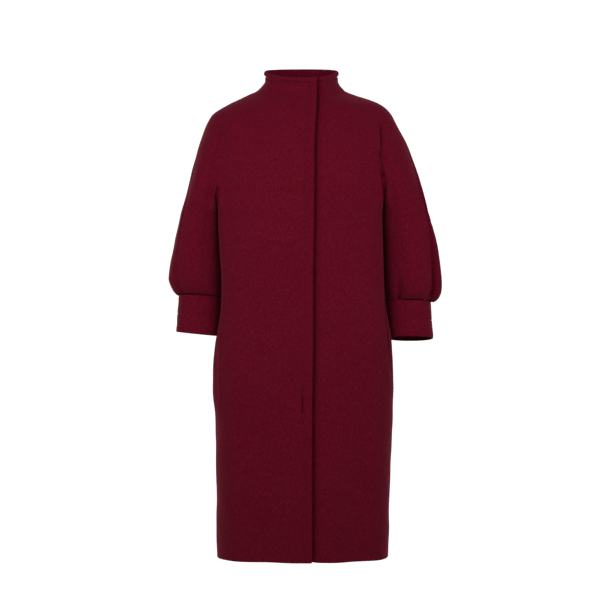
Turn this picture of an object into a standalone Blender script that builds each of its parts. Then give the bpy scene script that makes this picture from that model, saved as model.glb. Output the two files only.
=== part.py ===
"""A knee-length cocoon coat in heavy wool cloth, worn and hollow.

Each half of the coat is a front and a back panel, cut in one with half of a balloon sleeve and
half of a funnel collar. The panels meet at the overarm, side, underarm and centre-back seams.
The fronts lap and close with covered snaps, the sleeves end in deep cuffs, and a pocket bag hangs
inside each side seam.

Metres, +Z up, +X towards the wearer's left and +Y towards the back. The origin is the middle of
the base of the neck, where the shoulders carry the coat.
"""

import math
from collections import namedtuple

import bmesh
import bpy
import numpy as np
from mathutils import Vector

# Driving sizes of the cloth and its edges
CLOTH = 0.003  # thickness of the wool cloth
SEAM_GAP = 0.0003  # between two pieces at a seam
UNDERARM = 0.240  # how far down the body and the sleeve part
SLEEVE_END = 0.436  # where the sleeve is sewn to the cuff, measured down along the sleeve
HEM = 0.9495  # the hem, measured down
CREASE_TOP = 0.050  # where the fold between body and sleeve starts
FOLD_HALF = 0.012  # half of the strip at the bottom of the fold, as a share of the ring
FOLD_REACH = 0.35  # how much of the hidden stretch of each ring the fold takes to turn into it
CREASE_POWER = 3.0  # how late the fold deepens on its way down to the underarm
ARM_GAP = 0.0025  # air between a sleeve and the side of the body
CUFF_ARM_GAP = 0.0052  # and between a cuff and the side of the body

# Front closure
LAP_EDGE_TOP = 0.029  # how far the right front laps past the centre, at the collar
LAP_EDGE_HEM = 0.021  # and at the hem
UNDERLAP = 0.030  # how far the left front runs under it
LAP_RISE = 0.0036  # the right front stands this far out over the lap, and the left front in
LAP_WIDTH = 0.050  # the lapped stretch, measured from the edge of the right front
LAP_EASE = 0.045  # the stretch over which the right front comes back down
UNDER_EASE = 0.016  # the stretch over which the left front comes back up
UNDER_PAST = 0.004  # how far past the right front's edge it starts to

# The side seam, and the pocket in it
UNDERARM_TURN = 156  # where the underarm seam lies on the sleeve, in degrees from its outer side
POCKET_TOP = 0.445
POCKET_END = 0.625
POCKET_STAND = 0.0026  # how far the pocket's front edge stands out
POCKET_EASE = 0.060  # the stretch over which it does, at each end
POCKET_BAG_TOP = 0.400
POCKET_BAG_END = 0.740
POCKET_BAG_THICK = 0.0024
POCKET_BAG_GAP = 0.0003
POCKET_BAG_MARGIN = 0.006  # between the bag and the side seam
POCKET_BAG_COLUMNS = 5  # how many of the front's columns the bag lies behind
POCKET_BAG_ROUND_TOP = 0.35  # how far its inner edge draws in at the top, as a share of a column
POCKET_BAG_ROUND_END = 0.30  # and at the lower corner

# Cuffs
CUFF_THICK = 0.004
LEAN_START = 0.250  # how far down the sleeve its rings start to slope like the cuff
CUFF_NEAR = 0.380  # how far down the sleeve the air beside it starts to widen to the cuff's
CUFF_NEAR_REACH = 0.040  # and the stretch over which it does

# Covered snaps under the lap
SNAP_DOWN = (0.030, 0.200, 0.370, 0.540, 0.710)
SNAP_ACROSS = 0.004
SNAP_RADIUS = 0.0095
SNAP_BUTTON_RADIUS = 0.0055
SNAP_CLEAR = 0.0004
SNAP_STEPS = 12

# The rolled edges: height of the outer face at each share of the way to the topstitched line
EDGE_PROFILE = ((0.0, -0.0011), (0.12, 0.0009), (0.72, 0.0010), (1.0, -0.0009), (1.3, 0.0))
COLLAR_STITCH = 0.0115  # from the collar's edge to its topstitched line
LAP_STITCH = 0.0145  # from the front edge to its topstitched line

# The merged shape of body and sleeves, from the collar down to the underarm. right and left are
# the half widths, front and back the depths from the middle, square the exponent of the rounding,
# dip and lift the ring's slope in front of and behind the middle, fold_right and fold_left the
# place of the fold between body and sleeve as a share of the half width, and seam the overarm
# seam's turn to the front, in degrees.
Shoulder = namedtuple("Shoulder", "down right left front back square dip lift fold_right fold_left seam")
SHOULDER = (
    Shoulder(-0.058, 0.0776, 0.0736, 0.0660, 0.0720, 2.00, 0.330, 0.140, 0.80, 0.80, 0),
    Shoulder(-0.045, 0.0774, 0.0738, 0.0665, 0.0725, 2.00, 0.320, 0.150, 0.80, 0.80, 0),
    Shoulder(-0.035, 0.0788, 0.0746, 0.0680, 0.0735, 2.00, 0.290, 0.170, 0.80, 0.80, 0),
    Shoulder(-0.029, 0.0830, 0.0770, 0.0695, 0.0752, 2.00, 0.270, 0.190, 0.80, 0.80, 0),
    Shoulder(-0.022, 0.0895, 0.0830, 0.0718, 0.0780, 2.00, 0.240, 0.200, 0.80, 0.80, 0),
    Shoulder(-0.015, 0.0968, 0.0902, 0.0745, 0.0805, 2.00, 0.220, 0.200, 0.80, 0.80, 0),
    Shoulder(-0.006, 0.1145, 0.1130, 0.0785, 0.0850, 2.00, 0.190, 0.190, 0.80, 0.80, 0),
    Shoulder(0.002, 0.1325, 0.1392, 0.0825, 0.0900, 2.00, 0.165, 0.165, 0.80, 0.80, 0),
    Shoulder(0.010, 0.1520, 0.1588, 0.0860, 0.0945, 2.00, 0.140, 0.140, 0.80, 0.80, 0),
    Shoulder(0.019, 0.1684, 0.1724, 0.0895, 0.0985, 2.02, 0.118, 0.118, 0.80, 0.80, 0),
    Shoulder(0.027, 0.1800, 0.1804, 0.0925, 0.1015, 2.04, 0.100, 0.100, 0.80, 0.80, 1),
    Shoulder(0.035, 0.1888, 0.1864, 0.0950, 0.1045, 2.06, 0.085, 0.085, 0.80, 0.80, 2),
    Shoulder(0.052, 0.1990, 0.1953, 0.1005, 0.1100, 2.10, 0.060, 0.060, 0.81, 0.805, 4),
    Shoulder(0.069, 0.2060, 0.2039, 0.1055, 0.1150, 2.14, 0.040, 0.040, 0.805, 0.795, 6),
    Shoulder(0.085, 0.2116, 0.2120, 0.1100, 0.1195, 2.18, 0.022, 0.022, 0.79, 0.76, 7),
    Shoulder(0.106, 0.2179, 0.2212, 0.1155, 0.1250, 2.22, 0.008, 0.008, 0.77, 0.73, 9),
    Shoulder(0.148, 0.2290, 0.2370, 0.1250, 0.1350, 2.28, 0.0, 0.0, 0.755, 0.70, 12),
    Shoulder(0.200, 0.2423, 0.2528, 0.1330, 0.1430, 2.34, 0.0, 0.0, 0.725, 0.67, 15),
    Shoulder(0.240, 0.2525, 0.2635, 0.1366, 0.1472, 2.40, 0.0, 0.0, 0.695, 0.645, 17),
)

# The body's own ring. right and left are the half widths, widest the place of the widest line,
# press how far the arm beside it presses the side in, and seam the place of the side seam in
# degrees from centre front.
Body = namedtuple("Body", "down right left front back widest press square seam")
BODY = (
    Body(0.050, 0.1650, 0.1600, 0.1000, 0.1090, -0.010, 0.000, 2.20, 90),
    Body(0.130, 0.1720, 0.1620, 0.1215, 0.1310, -0.018, 0.000, 2.30, 90),
    Body(0.200, 0.1772, 0.1668, 0.1330, 0.1430, -0.026, 0.004, 2.42, 90),
    Body(0.250, 0.1772, 0.1675, 0.1375, 0.1480, -0.032, 0.009, 2.50, 89),
    Body(0.314, 0.1740, 0.1690, 0.1405, 0.1535, -0.038, 0.013, 2.58, 87),
    Body(0.385, 0.1698, 0.1708, 0.1420, 0.1575, -0.040, 0.014, 2.60, 85),
    Body(0.450, 0.1712, 0.1758, 0.1425, 0.1595, -0.038, 0.012, 2.60, 84),
    Body(0.512, 0.1798, 0.1836, 0.1420, 0.1600, -0.030, 0.005, 2.58, 83.5),
    Body(0.601, 0.1846, 0.1866, 0.1405, 0.1580, -0.020, 0.000, 2.56, 84),
    Body(0.688, 0.1800, 0.1860, 0.1390, 0.1530, -0.010, 0.000, 2.54, 86),
    Body(0.792, 0.1790, 0.1818, 0.1370, 0.1450, -0.004, 0.000, 2.52, 88),
    Body(0.876, 0.1790, 0.1795, 0.1350, 0.1365, 0.000, 0.000, 2.50, 90),
    Body(0.9495, 0.1775, 0.1780, 0.1330, 0.1280, 0.000, 0.000, 2.50, 90),
)
PRESS_PLACE = 0.020  # the depth at which the arm presses most
PRESS_REACH = 0.060  # and how far in front of it and behind it the side still gives
PRESS_FADE = 0.12  # half width within which the press fades out towards the centre
RING_SOFT = 0.02  # how softly a sloping ring turns from its front slope to its back slope

# The sleeve's ring. down is measured along the sleeve and height is where that lies below the
# neck base. in_ and out are the inner and outer half widths of each side, middle the ring's
# middle, front and back its depths, seam the overarm seam's turn to the front in degrees.
Sleeve = namedtuple(
    "Sleeve",
    "down height_right height_left in_right out_right in_left out_left middle front back square seam",
)
SLEEVE = (
    Sleeve(0.050, 0.050, 0.050, 0.1500, 0.1985, 0.1480, 0.1945, 0.002, 0.064, 0.068, 2.2, 6),
    Sleeve(0.130, 0.130, 0.130, 0.1620, 0.2245, 0.1560, 0.2305, 0.002, 0.076, 0.080, 2.2, 20),
    Sleeve(0.200, 0.200, 0.200, 0.1650, 0.2423, 0.1580, 0.2528, 0.004, 0.083, 0.088, 2.2, 32),
    Sleeve(0.250, 0.250, 0.250, 0.1660, 0.2552, 0.1610, 0.2660, 0.006, 0.086, 0.092, 2.2, 39),
    Sleeve(0.310, 0.310, 0.310, 0.1655, 0.2692, 0.1630, 0.2797, 0.007, 0.088, 0.095, 2.2, 46),
    Sleeve(0.350, 0.350, 0.354, 0.1650, 0.2762, 0.1640, 0.2860, 0.006, 0.087, 0.095, 2.2, 49),
    Sleeve(0.376, 0.374, 0.384, 0.1650, 0.2776, 0.1660, 0.2880, 0.004, 0.084, 0.092, 2.2, 50),
    Sleeve(0.396, 0.391, 0.402, 0.1665, 0.2725, 0.1690, 0.2864, 0.001, 0.078, 0.086, 2.2, 50),
    Sleeve(0.412, 0.402, 0.414, 0.1685, 0.2660, 0.1730, 0.2806, -0.003, 0.069, 0.078, 2.2, 49),
    Sleeve(0.424, 0.4070, 0.4202, 0.1698, 0.2608, 0.1756, 0.2725, -0.006, 0.060, 0.068, 2.2, 48),
    Sleeve(0.436, 0.4078, 0.4213, 0.1700, 0.2572, 0.1760, 0.2664, -0.008, 0.053, 0.057, 2.2, 47),
)
# Folds where the sleeve is gathered into its cuff. turn is the place round the sleeve, from the
# outer side over the front, deep and wide the fold's depth and half width in degrees, reach how
# far up the sleeve it runs.
Pleat = namedtuple("Pleat", "turn deep wide reach")
PLEATS = {
    "right": (
        Pleat(50, 0.0018, 12, 0.120),
        Pleat(128, 0.0016, 12, 0.030),
        Pleat(232, 0.0040, 13, 0.060),
        Pleat(275, 0.0050, 13, 0.075),
        Pleat(318, 0.0050, 14, 0.090),
    ),
    "left": (
        Pleat(48, 0.0085, 11, 0.190),
        Pleat(140, 0.0034, 11, 0.045),
        Pleat(236, 0.0040, 13, 0.060),
        Pleat(278, 0.0050, 13, 0.070),
        Pleat(322, 0.0045, 14, 0.080),
    ),
}

PLEAT_END = 0.028  # the stretch over which the folds flatten out before the cuff

# Each cuff's ring at its top and bottom edge. slope is its rise towards the outer side and lean
# its fall towards the back, in metres for each metre.
Cuff = namedtuple("Cuff", "height in_ out middle front back slope lean")
CUFFS = {
    "right": (Cuff(0.4090, 0.1700, 0.2568, -0.008, 0.0530, 0.0570, 0.08, 0.10),
              Cuff(0.4840, 0.1730, 0.2620, -0.014, 0.0545, 0.0585, 0.10, 0.01)),
    "left": (Cuff(0.4225, 0.1760, 0.2664, -0.008, 0.0530, 0.0570, 0.0, 0.09),
             Cuff(0.4980, 0.1790, 0.2710, -0.014, 0.0545, 0.0585, 0.0, 0.107)),
}
CUFF_SQUARE = 2.2
CUFF_GAP = 0.0002  # between the end of the sleeve and the cuff's top edge
CUFF_TURNS = 28
CUFF_ROWS = (0.0, 0.02, 0.25, 0.47, 0.50, 0.53, 0.75, 0.98, 1.0)
CUFF_STITCH = 0.50  # the topstitched line round the middle of the cuff
CUFF_STITCH_DEEP = 0.0007
CUFF_ROUND = 0.0011

# How finely the panels are divided
TOP_ROWS = (
    -0.058, -0.0566, -0.0497, -0.0465, -0.0430, -0.0365, -0.0285, -0.0215, -0.014, -0.006,
    0.002, 0.010, 0.019, 0.028, 0.040, 0.056, 0.076, 0.100, 0.125, 0.150, 0.172, 0.192, 0.209,
    0.222, 0.231, 0.2368, 0.240,
)
SIDE_ROWS = (
    0.262, 0.300, 0.345, 0.390, 0.432, 0.475, 0.520, 0.565, 0.610, 0.665, 0.735, 0.810, 0.880,
    0.9495,
)
SLEEVE_ROWS = (
    0.262, 0.290, 0.317, 0.342, 0.364, 0.382, 0.396, 0.407, 0.416, 0.424, 0.431, 0.436,
)
EDGE_COLUMNS = (0.0, 0.0017, 0.0104, 0.0145, 0.0188)
BODY_COLUMNS = 6
HIDDEN_COLUMNS = 3  # on the stretch of each ring that faces the other one under the arm
SLEEVE_COLUMNS = 7
HIDDEN_LEAST = 0.030  # the least width given to these columns
HIDDEN_SHIFT = 1.4  # how early, on the way down to the underarm, the columns move to their places
DENSE = 121  # points along a ring before it is divided
SOFT_TURNS = 3  # how often the fold between body and sleeve is smoothed
SEAM_SHARE = 0.75  # each panel's share of the seam gap, a little over half where seams slant
SHARP = 70  # degrees from which an edge is shaded sharp

SIGN = {"right": -1.0, "left": 1.0}
WINE = (0.098, 0.0075, 0.0155, 1.0)
DARK_METAL = (0.05, 0.05, 0.055, 1.0)


def read(table, column, down):
    """One column of a table at a distance down, on a smooth curve that never overshoots its rows."""
    keys = [row.down for row in table]
    values = [getattr(row, column) for row in table]
    at = min(max(down, keys[0]), keys[-1])
    i = max(k for k in range(len(keys) - 1) if keys[k] <= at)
    steps = [keys[k + 1] - keys[k] for k in range(len(keys) - 1)]
    slopes = [(values[k + 1] - values[k]) / steps[k] for k in range(len(steps))]

    def tangent(k):
        if k == 0:
            return slopes[0]
        if k == len(keys) - 1:
            return slopes[-1]
        before, after = slopes[k - 1], slopes[k]
        if before * after <= 0:
            return 0.0
        return 2 * before * after / (before + after)

    t = (at - keys[i]) / steps[i]
    rise = values[i] * (1 + 2 * t) * (1 - t) ** 2 + values[i + 1] * t * t * (3 - 2 * t)
    return rise + steps[i] * (tangent(i) * t * (1 - t) ** 2 - tangent(i + 1) * t * t * (1 - t))


def eased(share):
    """0 to 1, smoothly, for a number or an array."""
    share = np.clip(share, 0.0, 1.0)
    return share * share * (3 - 2 * share)


def power(value, exponent):
    """A power that keeps its value's sign."""
    return np.sign(value) * np.abs(value) ** exponent


def spaced(points, shares):
    """Points at the given shares of a line's length."""
    lengths = np.linalg.norm(np.diff(points, axis=0), axis=1)
    along = np.concatenate([[0.0], np.cumsum(lengths)])
    at = np.asarray(shares) * along[-1]
    return np.stack([np.interp(at, along, points[:, k]) for k in range(3)], axis=1)


def slope_of_ring(down, y):
    """How far the merged ring rises at a depth y, above its height at the middle."""
    dip, lift = read(SHOULDER, "dip", down), read(SHOULDER, "lift", down)
    soft = np.sqrt(y * y + RING_SOFT**2) - RING_SOFT
    return 0.5 * (lift + dip) * y + 0.5 * (lift - dip) * soft


def shoulder_arc(side, down, start, end):
    """The merged ring of body and sleeve between two turns, in degrees from centre front."""
    turn = np.radians(np.linspace(start, end, DENSE))
    exponent = 2 / read(SHOULDER, "square", down)
    across = read(SHOULDER, side, down) * np.abs(np.sin(turn)) ** exponent
    depth = np.where(np.cos(turn) > 0, read(SHOULDER, "front", down), read(SHOULDER, "back", down))
    y = -depth * power(np.cos(turn), exponent)
    return np.stack([across, y, slope_of_ring(down, y) - down], axis=1)


def side_of_body(side, down, y):
    """Half width of the body at a depth y."""
    widest = read(BODY, "widest", down)
    square = read(BODY, "square", down)
    depth = np.where(y < widest, read(BODY, "front", down) + widest, read(BODY, "back", down) - widest)
    share = np.clip(np.abs(y - widest) / depth, 0.0, 1.0)
    press = read(BODY, "press", down) * np.exp(-(((y - PRESS_PLACE) / PRESS_REACH) ** 2))
    return read(BODY, side, down) * (1 - share**square) ** (1 / square) - press


def body_arc(side, down, start, end):
    """The body's own ring between two turns, in degrees from centre front."""
    turn = np.radians(np.linspace(start, end, DENSE))
    exponent = 2 / read(BODY, "square", down)
    widest = read(BODY, "widest", down)
    depth = np.where(
        np.cos(turn) > 0, read(BODY, "front", down) + widest, read(BODY, "back", down) - widest
    )
    y = widest - depth * power(np.cos(turn), exponent)
    press = read(BODY, "press", down) * np.exp(-(((y - PRESS_PLACE) / PRESS_REACH) ** 2))
    across = read(BODY, side, down) * np.abs(np.sin(turn)) ** exponent
    across = across - press * eased(across / PRESS_FADE)
    return np.stack([across, y, slope_of_ring(down, y) - down], axis=1)


def pleat_depth(side, down, turn):
    """How deep the gathers press the sleeve in, at turns in degrees round it."""
    depth = np.zeros_like(turn)
    flat = 1 - eased((down - (SLEEVE_END - PLEAT_END)) / PLEAT_END)
    for pleat in PLEATS[side]:
        rise = flat * eased((down - (SLEEVE_END - pleat.reach)) / pleat.reach)
        away = (turn - pleat.turn + 180) % 360 - 180
        depth = depth + pleat.deep * rise * np.exp(-((away / pleat.wide) ** 2))
    return depth


def clear_of_body(side, down, x, y, gap):
    """Half widths moved out where they would come nearer to the body's side than the gap."""
    limit = side_of_body(side, down, y) + gap
    return 0.5 * (x + limit + np.sqrt((x - limit) ** 2 + (0.5 * gap) ** 2))


def cuff_arc(side, share, degrees):
    """Outer points of a cuff at a share of its depth, at turns in degrees."""
    top, bottom = CUFFS[side]
    mix = Cuff(*(a + (b - a) * share for a, b in zip(top, bottom)))
    turn = np.radians(degrees)
    exponent = 2 / CUFF_SQUARE
    half = (mix.out - mix.in_) / 2
    x = (mix.in_ + mix.out) / 2 + half * power(np.cos(turn), exponent)
    y = mix.middle - np.where(np.sin(turn) > 0, mix.front, mix.back) * power(np.sin(turn), exponent)
    x = clear_of_body(side, mix.height, x, y, CUFF_ARM_GAP)
    z = -mix.height + mix.slope * (x - mix.out) - mix.lean * (y - mix.middle)
    return np.stack([x, y, z], axis=1)


def sleeve_arc(side, down, start, end):
    """The sleeve's ring between two turns, in degrees from its outer side over its front."""
    degrees = np.linspace(start, end, DENSE)
    if down >= SLEEVE_END:
        return cuff_arc(side, 0.0, degrees) + (0.0, 0.0, CUFF_GAP)
    turn = np.radians(degrees)
    exponent = 2 / read(SLEEVE, "square", down)
    inner, outer = read(SLEEVE, "in_" + side, down), read(SLEEVE, "out_" + side, down)
    front, back = read(SLEEVE, "front", down), read(SLEEVE, "back", down)
    middle, height = read(SLEEVE, "middle", down), read(SLEEVE, "height_" + side, down)
    shrink = 1 - pleat_depth(side, down, degrees) / (0.5 * (outer - inner))
    x = (inner + outer) / 2 + (outer - inner) / 2 * shrink * power(np.cos(turn), exponent)
    depth = np.where(np.sin(turn) > 0, front, back)
    y = middle - depth * shrink * power(np.sin(turn), exponent)
    gap = ARM_GAP + (CUFF_ARM_GAP - ARM_GAP) * eased((down - CUFF_NEAR) / CUFF_NEAR_REACH)
    x = clear_of_body(side, height, x, y, gap)
    lean = CUFFS[side][0].slope * (x - outer) - CUFFS[side][0].lean * (y - middle)
    lean = lean * eased((down - LEAN_START) / (SLEEVE_END - LEAN_START))
    return np.stack([x, y, lean - height], axis=1)


def merged(side, face, down):
    """The merged ring from centre to overarm seam, and the fold's place as a share of it."""
    start = 0.0 if face == "front" else 180.0
    ring = shoulder_arc(side, down, start, 90 - read(SHOULDER, "seam", down))
    fold = read(SHOULDER, "fold_" + side, down) * read(SHOULDER, side, down)
    lengths = np.linalg.norm(np.diff(ring, axis=0), axis=1)
    along = np.concatenate([[0.0], np.cumsum(lengths)])
    widest = int(ring[:, 0].argmax()) + 1
    return ring, float(np.interp(fold, ring[:widest, 0], along[:widest]) / along[-1])


def parted(whole, own, down):
    """A line from the fold outwards, between its place on the merged ring and on its own ring.

    The stretch of its own ring that faces the other one grows down out of the fold. The line
    comes with the share of its length that is kept for that hidden stretch.
    """
    shares = np.linspace(0, 1, DENSE)
    own = spaced(own, shares)
    last = int(np.linalg.norm(own - whole[0], axis=1).argmin())
    inside = shares[last]
    whole = spaced(whole, np.clip((shares - inside) / (1 - inside), 0, 1))
    share = min(max((down - CREASE_TOP) / (UNDERARM - CREASE_TOP), 0.0), 1.0)
    deep = 1 - math.sqrt(1 - share**CREASE_POWER)
    near = 1 - eased(1 + (shares / inside - 1) / FOLD_REACH)
    mix = eased(share) + (deep - eased(share)) * near
    line = whole + (own - whole) * mix[:, None]
    lengths = np.linalg.norm(np.diff(line, axis=0), axis=1)
    hidden = max(lengths[:last].sum(), HIDDEN_LEAST) / lengths.sum()
    even = HIDDEN_COLUMNS / (HIDDEN_COLUMNS + BODY_COLUMNS)
    return line, even + (hidden - even) * eased(HIDDEN_SHIFT * share)


def body_line(side, face, down):
    """A body row from the side seam to centre front or back, and where its hidden stretch ends."""
    start = 0.0 if face == "front" else 180.0
    own = body_arc(side, down, read(BODY, "seam", down), start)
    if down > UNDERARM:
        return own, body_line(side, face, UNDERARM)[1]
    ring, fold = merged(side, face, down)
    return parted(spaced(ring, np.linspace(fold - FOLD_HALF, 0, DENSE)), own, down)


def sleeve_line(side, face, down):
    """A sleeve row from the underarm seam to the overarm seam, and where its hidden stretch ends."""
    seam = read(SLEEVE, "seam", down)
    own = sleeve_arc(side, down, UNDERARM_TURN, seam if face == "front" else 360 + seam)
    if down > UNDERARM:
        return own, sleeve_line(side, face, UNDERARM)[1]
    ring, fold = merged(side, face, down)
    return parted(spaced(ring, np.linspace(fold + FOLD_HALF, 1, DENSE)), own, down)


def divided(split, visible):
    """Shares of a line's length at its columns, from the fold outwards."""
    hidden = np.linspace(0, split, HIDDEN_COLUMNS + 1)
    return np.concatenate([hidden, np.linspace(split, 1, visible + 1)[1:]])


def lap_edge(down):
    """Where the right front ends past the centre."""
    return LAP_EDGE_TOP + (LAP_EDGE_HEM - LAP_EDGE_TOP) * eased(down / HEM)


def point_at(line, x):
    """The point of a line from the centre outwards at a half width."""
    return np.array([np.interp(x, line[:, 0], line[:, k]) for k in range(3)])


def body_row(side, face, down):
    """The grid points of one body row, from the centre or the front edge to the side seam."""
    line, split = body_line(side, face, down)
    columns = spaced(line, divided(split, BODY_COLUMNS))[::-1]
    if face == "back":
        return columns
    past = lap_edge(down) if side == "right" else UNDERLAP
    line = line[::-1]
    inside = line[(line[:, 0] > 0) & (line[:, 0] < past)][::-1]
    lap = np.concatenate([[point_at(line, past)], inside, line[:1]]) * (-1, 1, 1)
    length = float(np.linalg.norm(np.diff(lap, axis=0), axis=1).sum())
    edge = spaced(lap, np.array(EDGE_COLUMNS) / length)
    return np.concatenate([edge, columns])


def sleeve_row(side, face, down):
    """The grid points of one sleeve row, from the underarm seam to the overarm seam."""
    line, split = sleeve_line(side, face, down)
    return spaced(line, divided(split, SLEEVE_COLUMNS))


def body_columns(face):
    """How many of a panel's columns are the body's."""
    lap = len(EDGE_COLUMNS) if face == "front" else 0
    return lap + HIDDEN_COLUMNS + BODY_COLUMNS + 1


def panel_points(side, face):
    """The grid of a panel: rows down from the collar, columns from the centre to the overarm."""
    body = [body_row(side, face, down) for down in TOP_ROWS + SIDE_ROWS]
    sleeve = [sleeve_row(side, face, down) for down in TOP_ROWS + SLEEVE_ROWS]
    sleeve += [sleeve[-1]] * (len(body) - len(sleeve))
    grid = np.concatenate([np.array(body), np.array(sleeve)], axis=1)
    grid[:, :, 0] *= SIGN[side]
    return soften_fold(grid, len(body[0]))


def soften_fold(grid, split):
    """Rounds the fold between body and sleeve, above the underarm and off every seam."""
    last = len(TOP_ROWS) - 1
    for _ in range(SOFT_TURNS):
        before = grid.copy()
        for row in range(len(TOP_ROWS) // 2, last):
            for column in range(split - HIDDEN_COLUMNS, split + HIDDEN_COLUMNS):
                near = before[row, column - 1] + before[row, column + 1]
                grid[row, column] = 0.5 * before[row, column] + 0.25 * near
    return grid


def panel_faces(points, face):
    """For each face of the grid, whether it is cloth."""
    split = body_columns(face)
    rows, columns = points.shape[0] - 1, points.shape[1] - 1
    underarm = len(TOP_ROWS) - 1
    sleeve_end = underarm + len(SLEEVE_ROWS)
    keep = np.ones((rows, columns), bool)
    keep[underarm:, split - 1] = False
    keep[sleeve_end:, split:] = False
    return keep


def cloth_grid(points, keep):
    """An open sheet, with each vertex's row and column."""
    rows, columns = points.shape[:2]
    bm = bmesh.new()
    bmesh.ops.create_grid(bm, x_segments=columns - 1, y_segments=rows - 1, size=0.5)
    place = {}
    for vertex in bm.verts:
        column = round((vertex.co.x + 0.5) * (columns - 1))
        row = round((0.5 - vertex.co.y) * (rows - 1))
        place[vertex] = (row, column)
    gone = []
    for face in bm.faces:
        row = min(place[v][0] for v in face.verts)
        column = min(place[v][1] for v in face.verts)
        if not keep[row, column]:
            gone.append(face)
    bmesh.ops.delete(bm, geom=gone, context="FACES")
    place = {vertex: at for vertex, at in place.items() if vertex.is_valid}
    for vertex, (row, column) in place.items():
        vertex.co = Vector(points[row, column])
    return bm, place


def face_outwards(bm, middle):
    """Turns the sheet so that its faces look away from a point inside the garment."""
    bm.normal_update()
    out = sum(f.normal.dot(f.calc_center_median() - middle) * f.calc_area() for f in bm.faces)
    if out < 0:
        bmesh.ops.reverse_faces(bm, faces=bm.faces[:])
        bm.normal_update()


def key(point):
    """A point rounded so that the two sides of a seam share it."""
    return tuple(round(value * 1e5) for value in point)


def shared_normals(sheets):
    """The cloth's outward direction at each point, the same on both sides of a seam."""
    found = {}
    for bm, _ in sheets:
        for vertex in bm.verts:
            for face in vertex.link_faces:
                corner = next(loop for loop in face.loops if loop.vert == vertex)
                pull = face.normal * corner.calc_angle()
                found[key(vertex.co)] = found.get(key(vertex.co), Vector((0, 0, 0))) + pull
    return {at: direction.normalized() for at, direction in found.items()}


def open_seams(bm):
    """How far each edge vertex moves into its own panel, so that seams stay open."""
    moves = {}
    for vertex in bm.verts:
        rim = [edge for edge in vertex.link_edges if edge.is_boundary]
        if not rim:
            continue
        inward = Vector((0, 0, 0))
        for edge in rim:
            face = edge.link_faces[0]
            along = (edge.verts[1].co - edge.verts[0].co).normalized()
            across = face.calc_center_median() - edge.verts[0].co
            inward += (across - along * across.dot(along)).normalized()
        if inward.length > 1e-6:
            moves[vertex] = inward.normalized() * (SEAM_SHARE * SEAM_GAP)
    return moves


def thicken(bm, normals, rise, thick):
    """Closes a sheet into a wall: the sheet, raised, outside, and a plain sheet inside."""
    bm.verts.ensure_lookup_table()
    moves = open_seams(bm)
    directions = {vertex: normals[key(vertex.co)] for vertex in bm.verts}
    height = {vertex: key(vertex.co)[::-1] for vertex in bm.verts}
    rim = [edge for edge in bm.edges if edge.is_boundary]
    made = bmesh.ops.duplicate(bm, geom=bm.verts[:] + bm.edges[:] + bm.faces[:])
    inner_of = {v: made["vert_map"][v] for v in directions}
    inner_faces = [item for item in made["geom"] if isinstance(item, bmesh.types.BMFace)]
    bmesh.ops.reverse_faces(bm, faces=inner_faces)
    for vertex, direction in directions.items():
        start = vertex.co + moves.get(vertex, Vector((0, 0, 0)))
        outer, inner = rise(vertex)
        vertex.co = start + direction * outer
        inner_of[vertex].co = start + direction * (inner - thick)
    for edge in rim:
        loop = edge.link_loops[0]
        a, b = loop.vert, loop.link_loop_next.vert
        if height[a] >= height[b]:
            bm.faces.new((b, a, inner_of[b]))
            bm.faces.new((a, inner_of[a], inner_of[b]))
        else:
            bm.faces.new((b, a, inner_of[a]))
            bm.faces.new((b, inner_of[a], inner_of[b]))
    bm.normal_update()


def edge_rise(share):
    """The outer face's height beside an edge, at a share of the way to its topstitched line."""
    away = [row[0] for row in EDGE_PROFILE]
    rise = [row[1] for row in EDGE_PROFILE]
    return float(np.interp(share, away, rise))


def lap_rise(side, x, down):
    """How far a front stands out or in beside the closure, at a place across the front."""
    if side == "right":
        inside = lap_edge(down) - x
        return LAP_RISE * (1 - eased((inside - LAP_WIDTH) / LAP_EASE))
    return -LAP_RISE * (1 - eased((x - lap_edge(down) - UNDER_PAST) / UNDER_EASE))


def pocket_rise(down, column, last):
    """How far the front edge of the pocket stands out."""
    if column < last - 1:
        return 0.0
    share = 0.5 if column == last - 1 else 1.0
    inside = min(down - POCKET_TOP, POCKET_END - down) / POCKET_EASE
    return share * POCKET_STAND * eased(inside + 0.5)


def panel_rise(side, face, place, points):
    """Heights of a panel's outer and inner face over its plain sheet."""
    split = body_columns(face)
    column_length = np.linalg.norm(np.diff(points, axis=0), axis=2)
    below_edge = np.concatenate([np.zeros((1, points.shape[1])), np.cumsum(column_length, axis=0)])

    def rise(vertex):
        row, column = place[vertex]
        share = below_edge[row, column] / COLLAR_STITCH
        lift = 0.0
        if face == "front" and column < split:
            down = -points[row, column][2]
            lift = lap_rise(side, points[row, column][0], down)
            lift += pocket_rise(down, column, split - 1)
            if column < len(EDGE_COLUMNS):
                share = min(share, EDGE_COLUMNS[column] / LAP_STITCH)
        return edge_rise(share) + lift, lift

    return rise


def new_material(name, colour, roughness, metallic):
    material = bpy.data.materials.new(name)
    material.use_nodes = True
    shader = material.node_tree.nodes["Principled BSDF"]
    shader.inputs["Base Color"].default_value = colour
    shader.inputs["Roughness"].default_value = roughness
    shader.inputs["Metallic"].default_value = metallic
    return material


def new_object(name, bm, collection, material):
    mesh = bpy.data.meshes.new(name)
    bm.to_mesh(mesh)
    bm.free()
    mesh.materials.append(material)
    mesh.shade_smooth()
    mesh.set_sharp_from_angle(angle=math.radians(SHARP))
    thing = bpy.data.objects.new(name, mesh)
    collection.objects.link(thing)
    return thing


def coat_sheets():
    """The four panels as open sheets."""
    sheets = {}
    for side in ("right", "left"):
        for face in ("front", "back"):
            points = panel_points(side, face)
            bm, place = cloth_grid(points, panel_faces(points, face))
            face_outwards(bm, Vector((SIGN[side] * 0.10, 0.0, -0.30)))
            sheets[side, face] = (bm, place, points)
    return sheets


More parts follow.
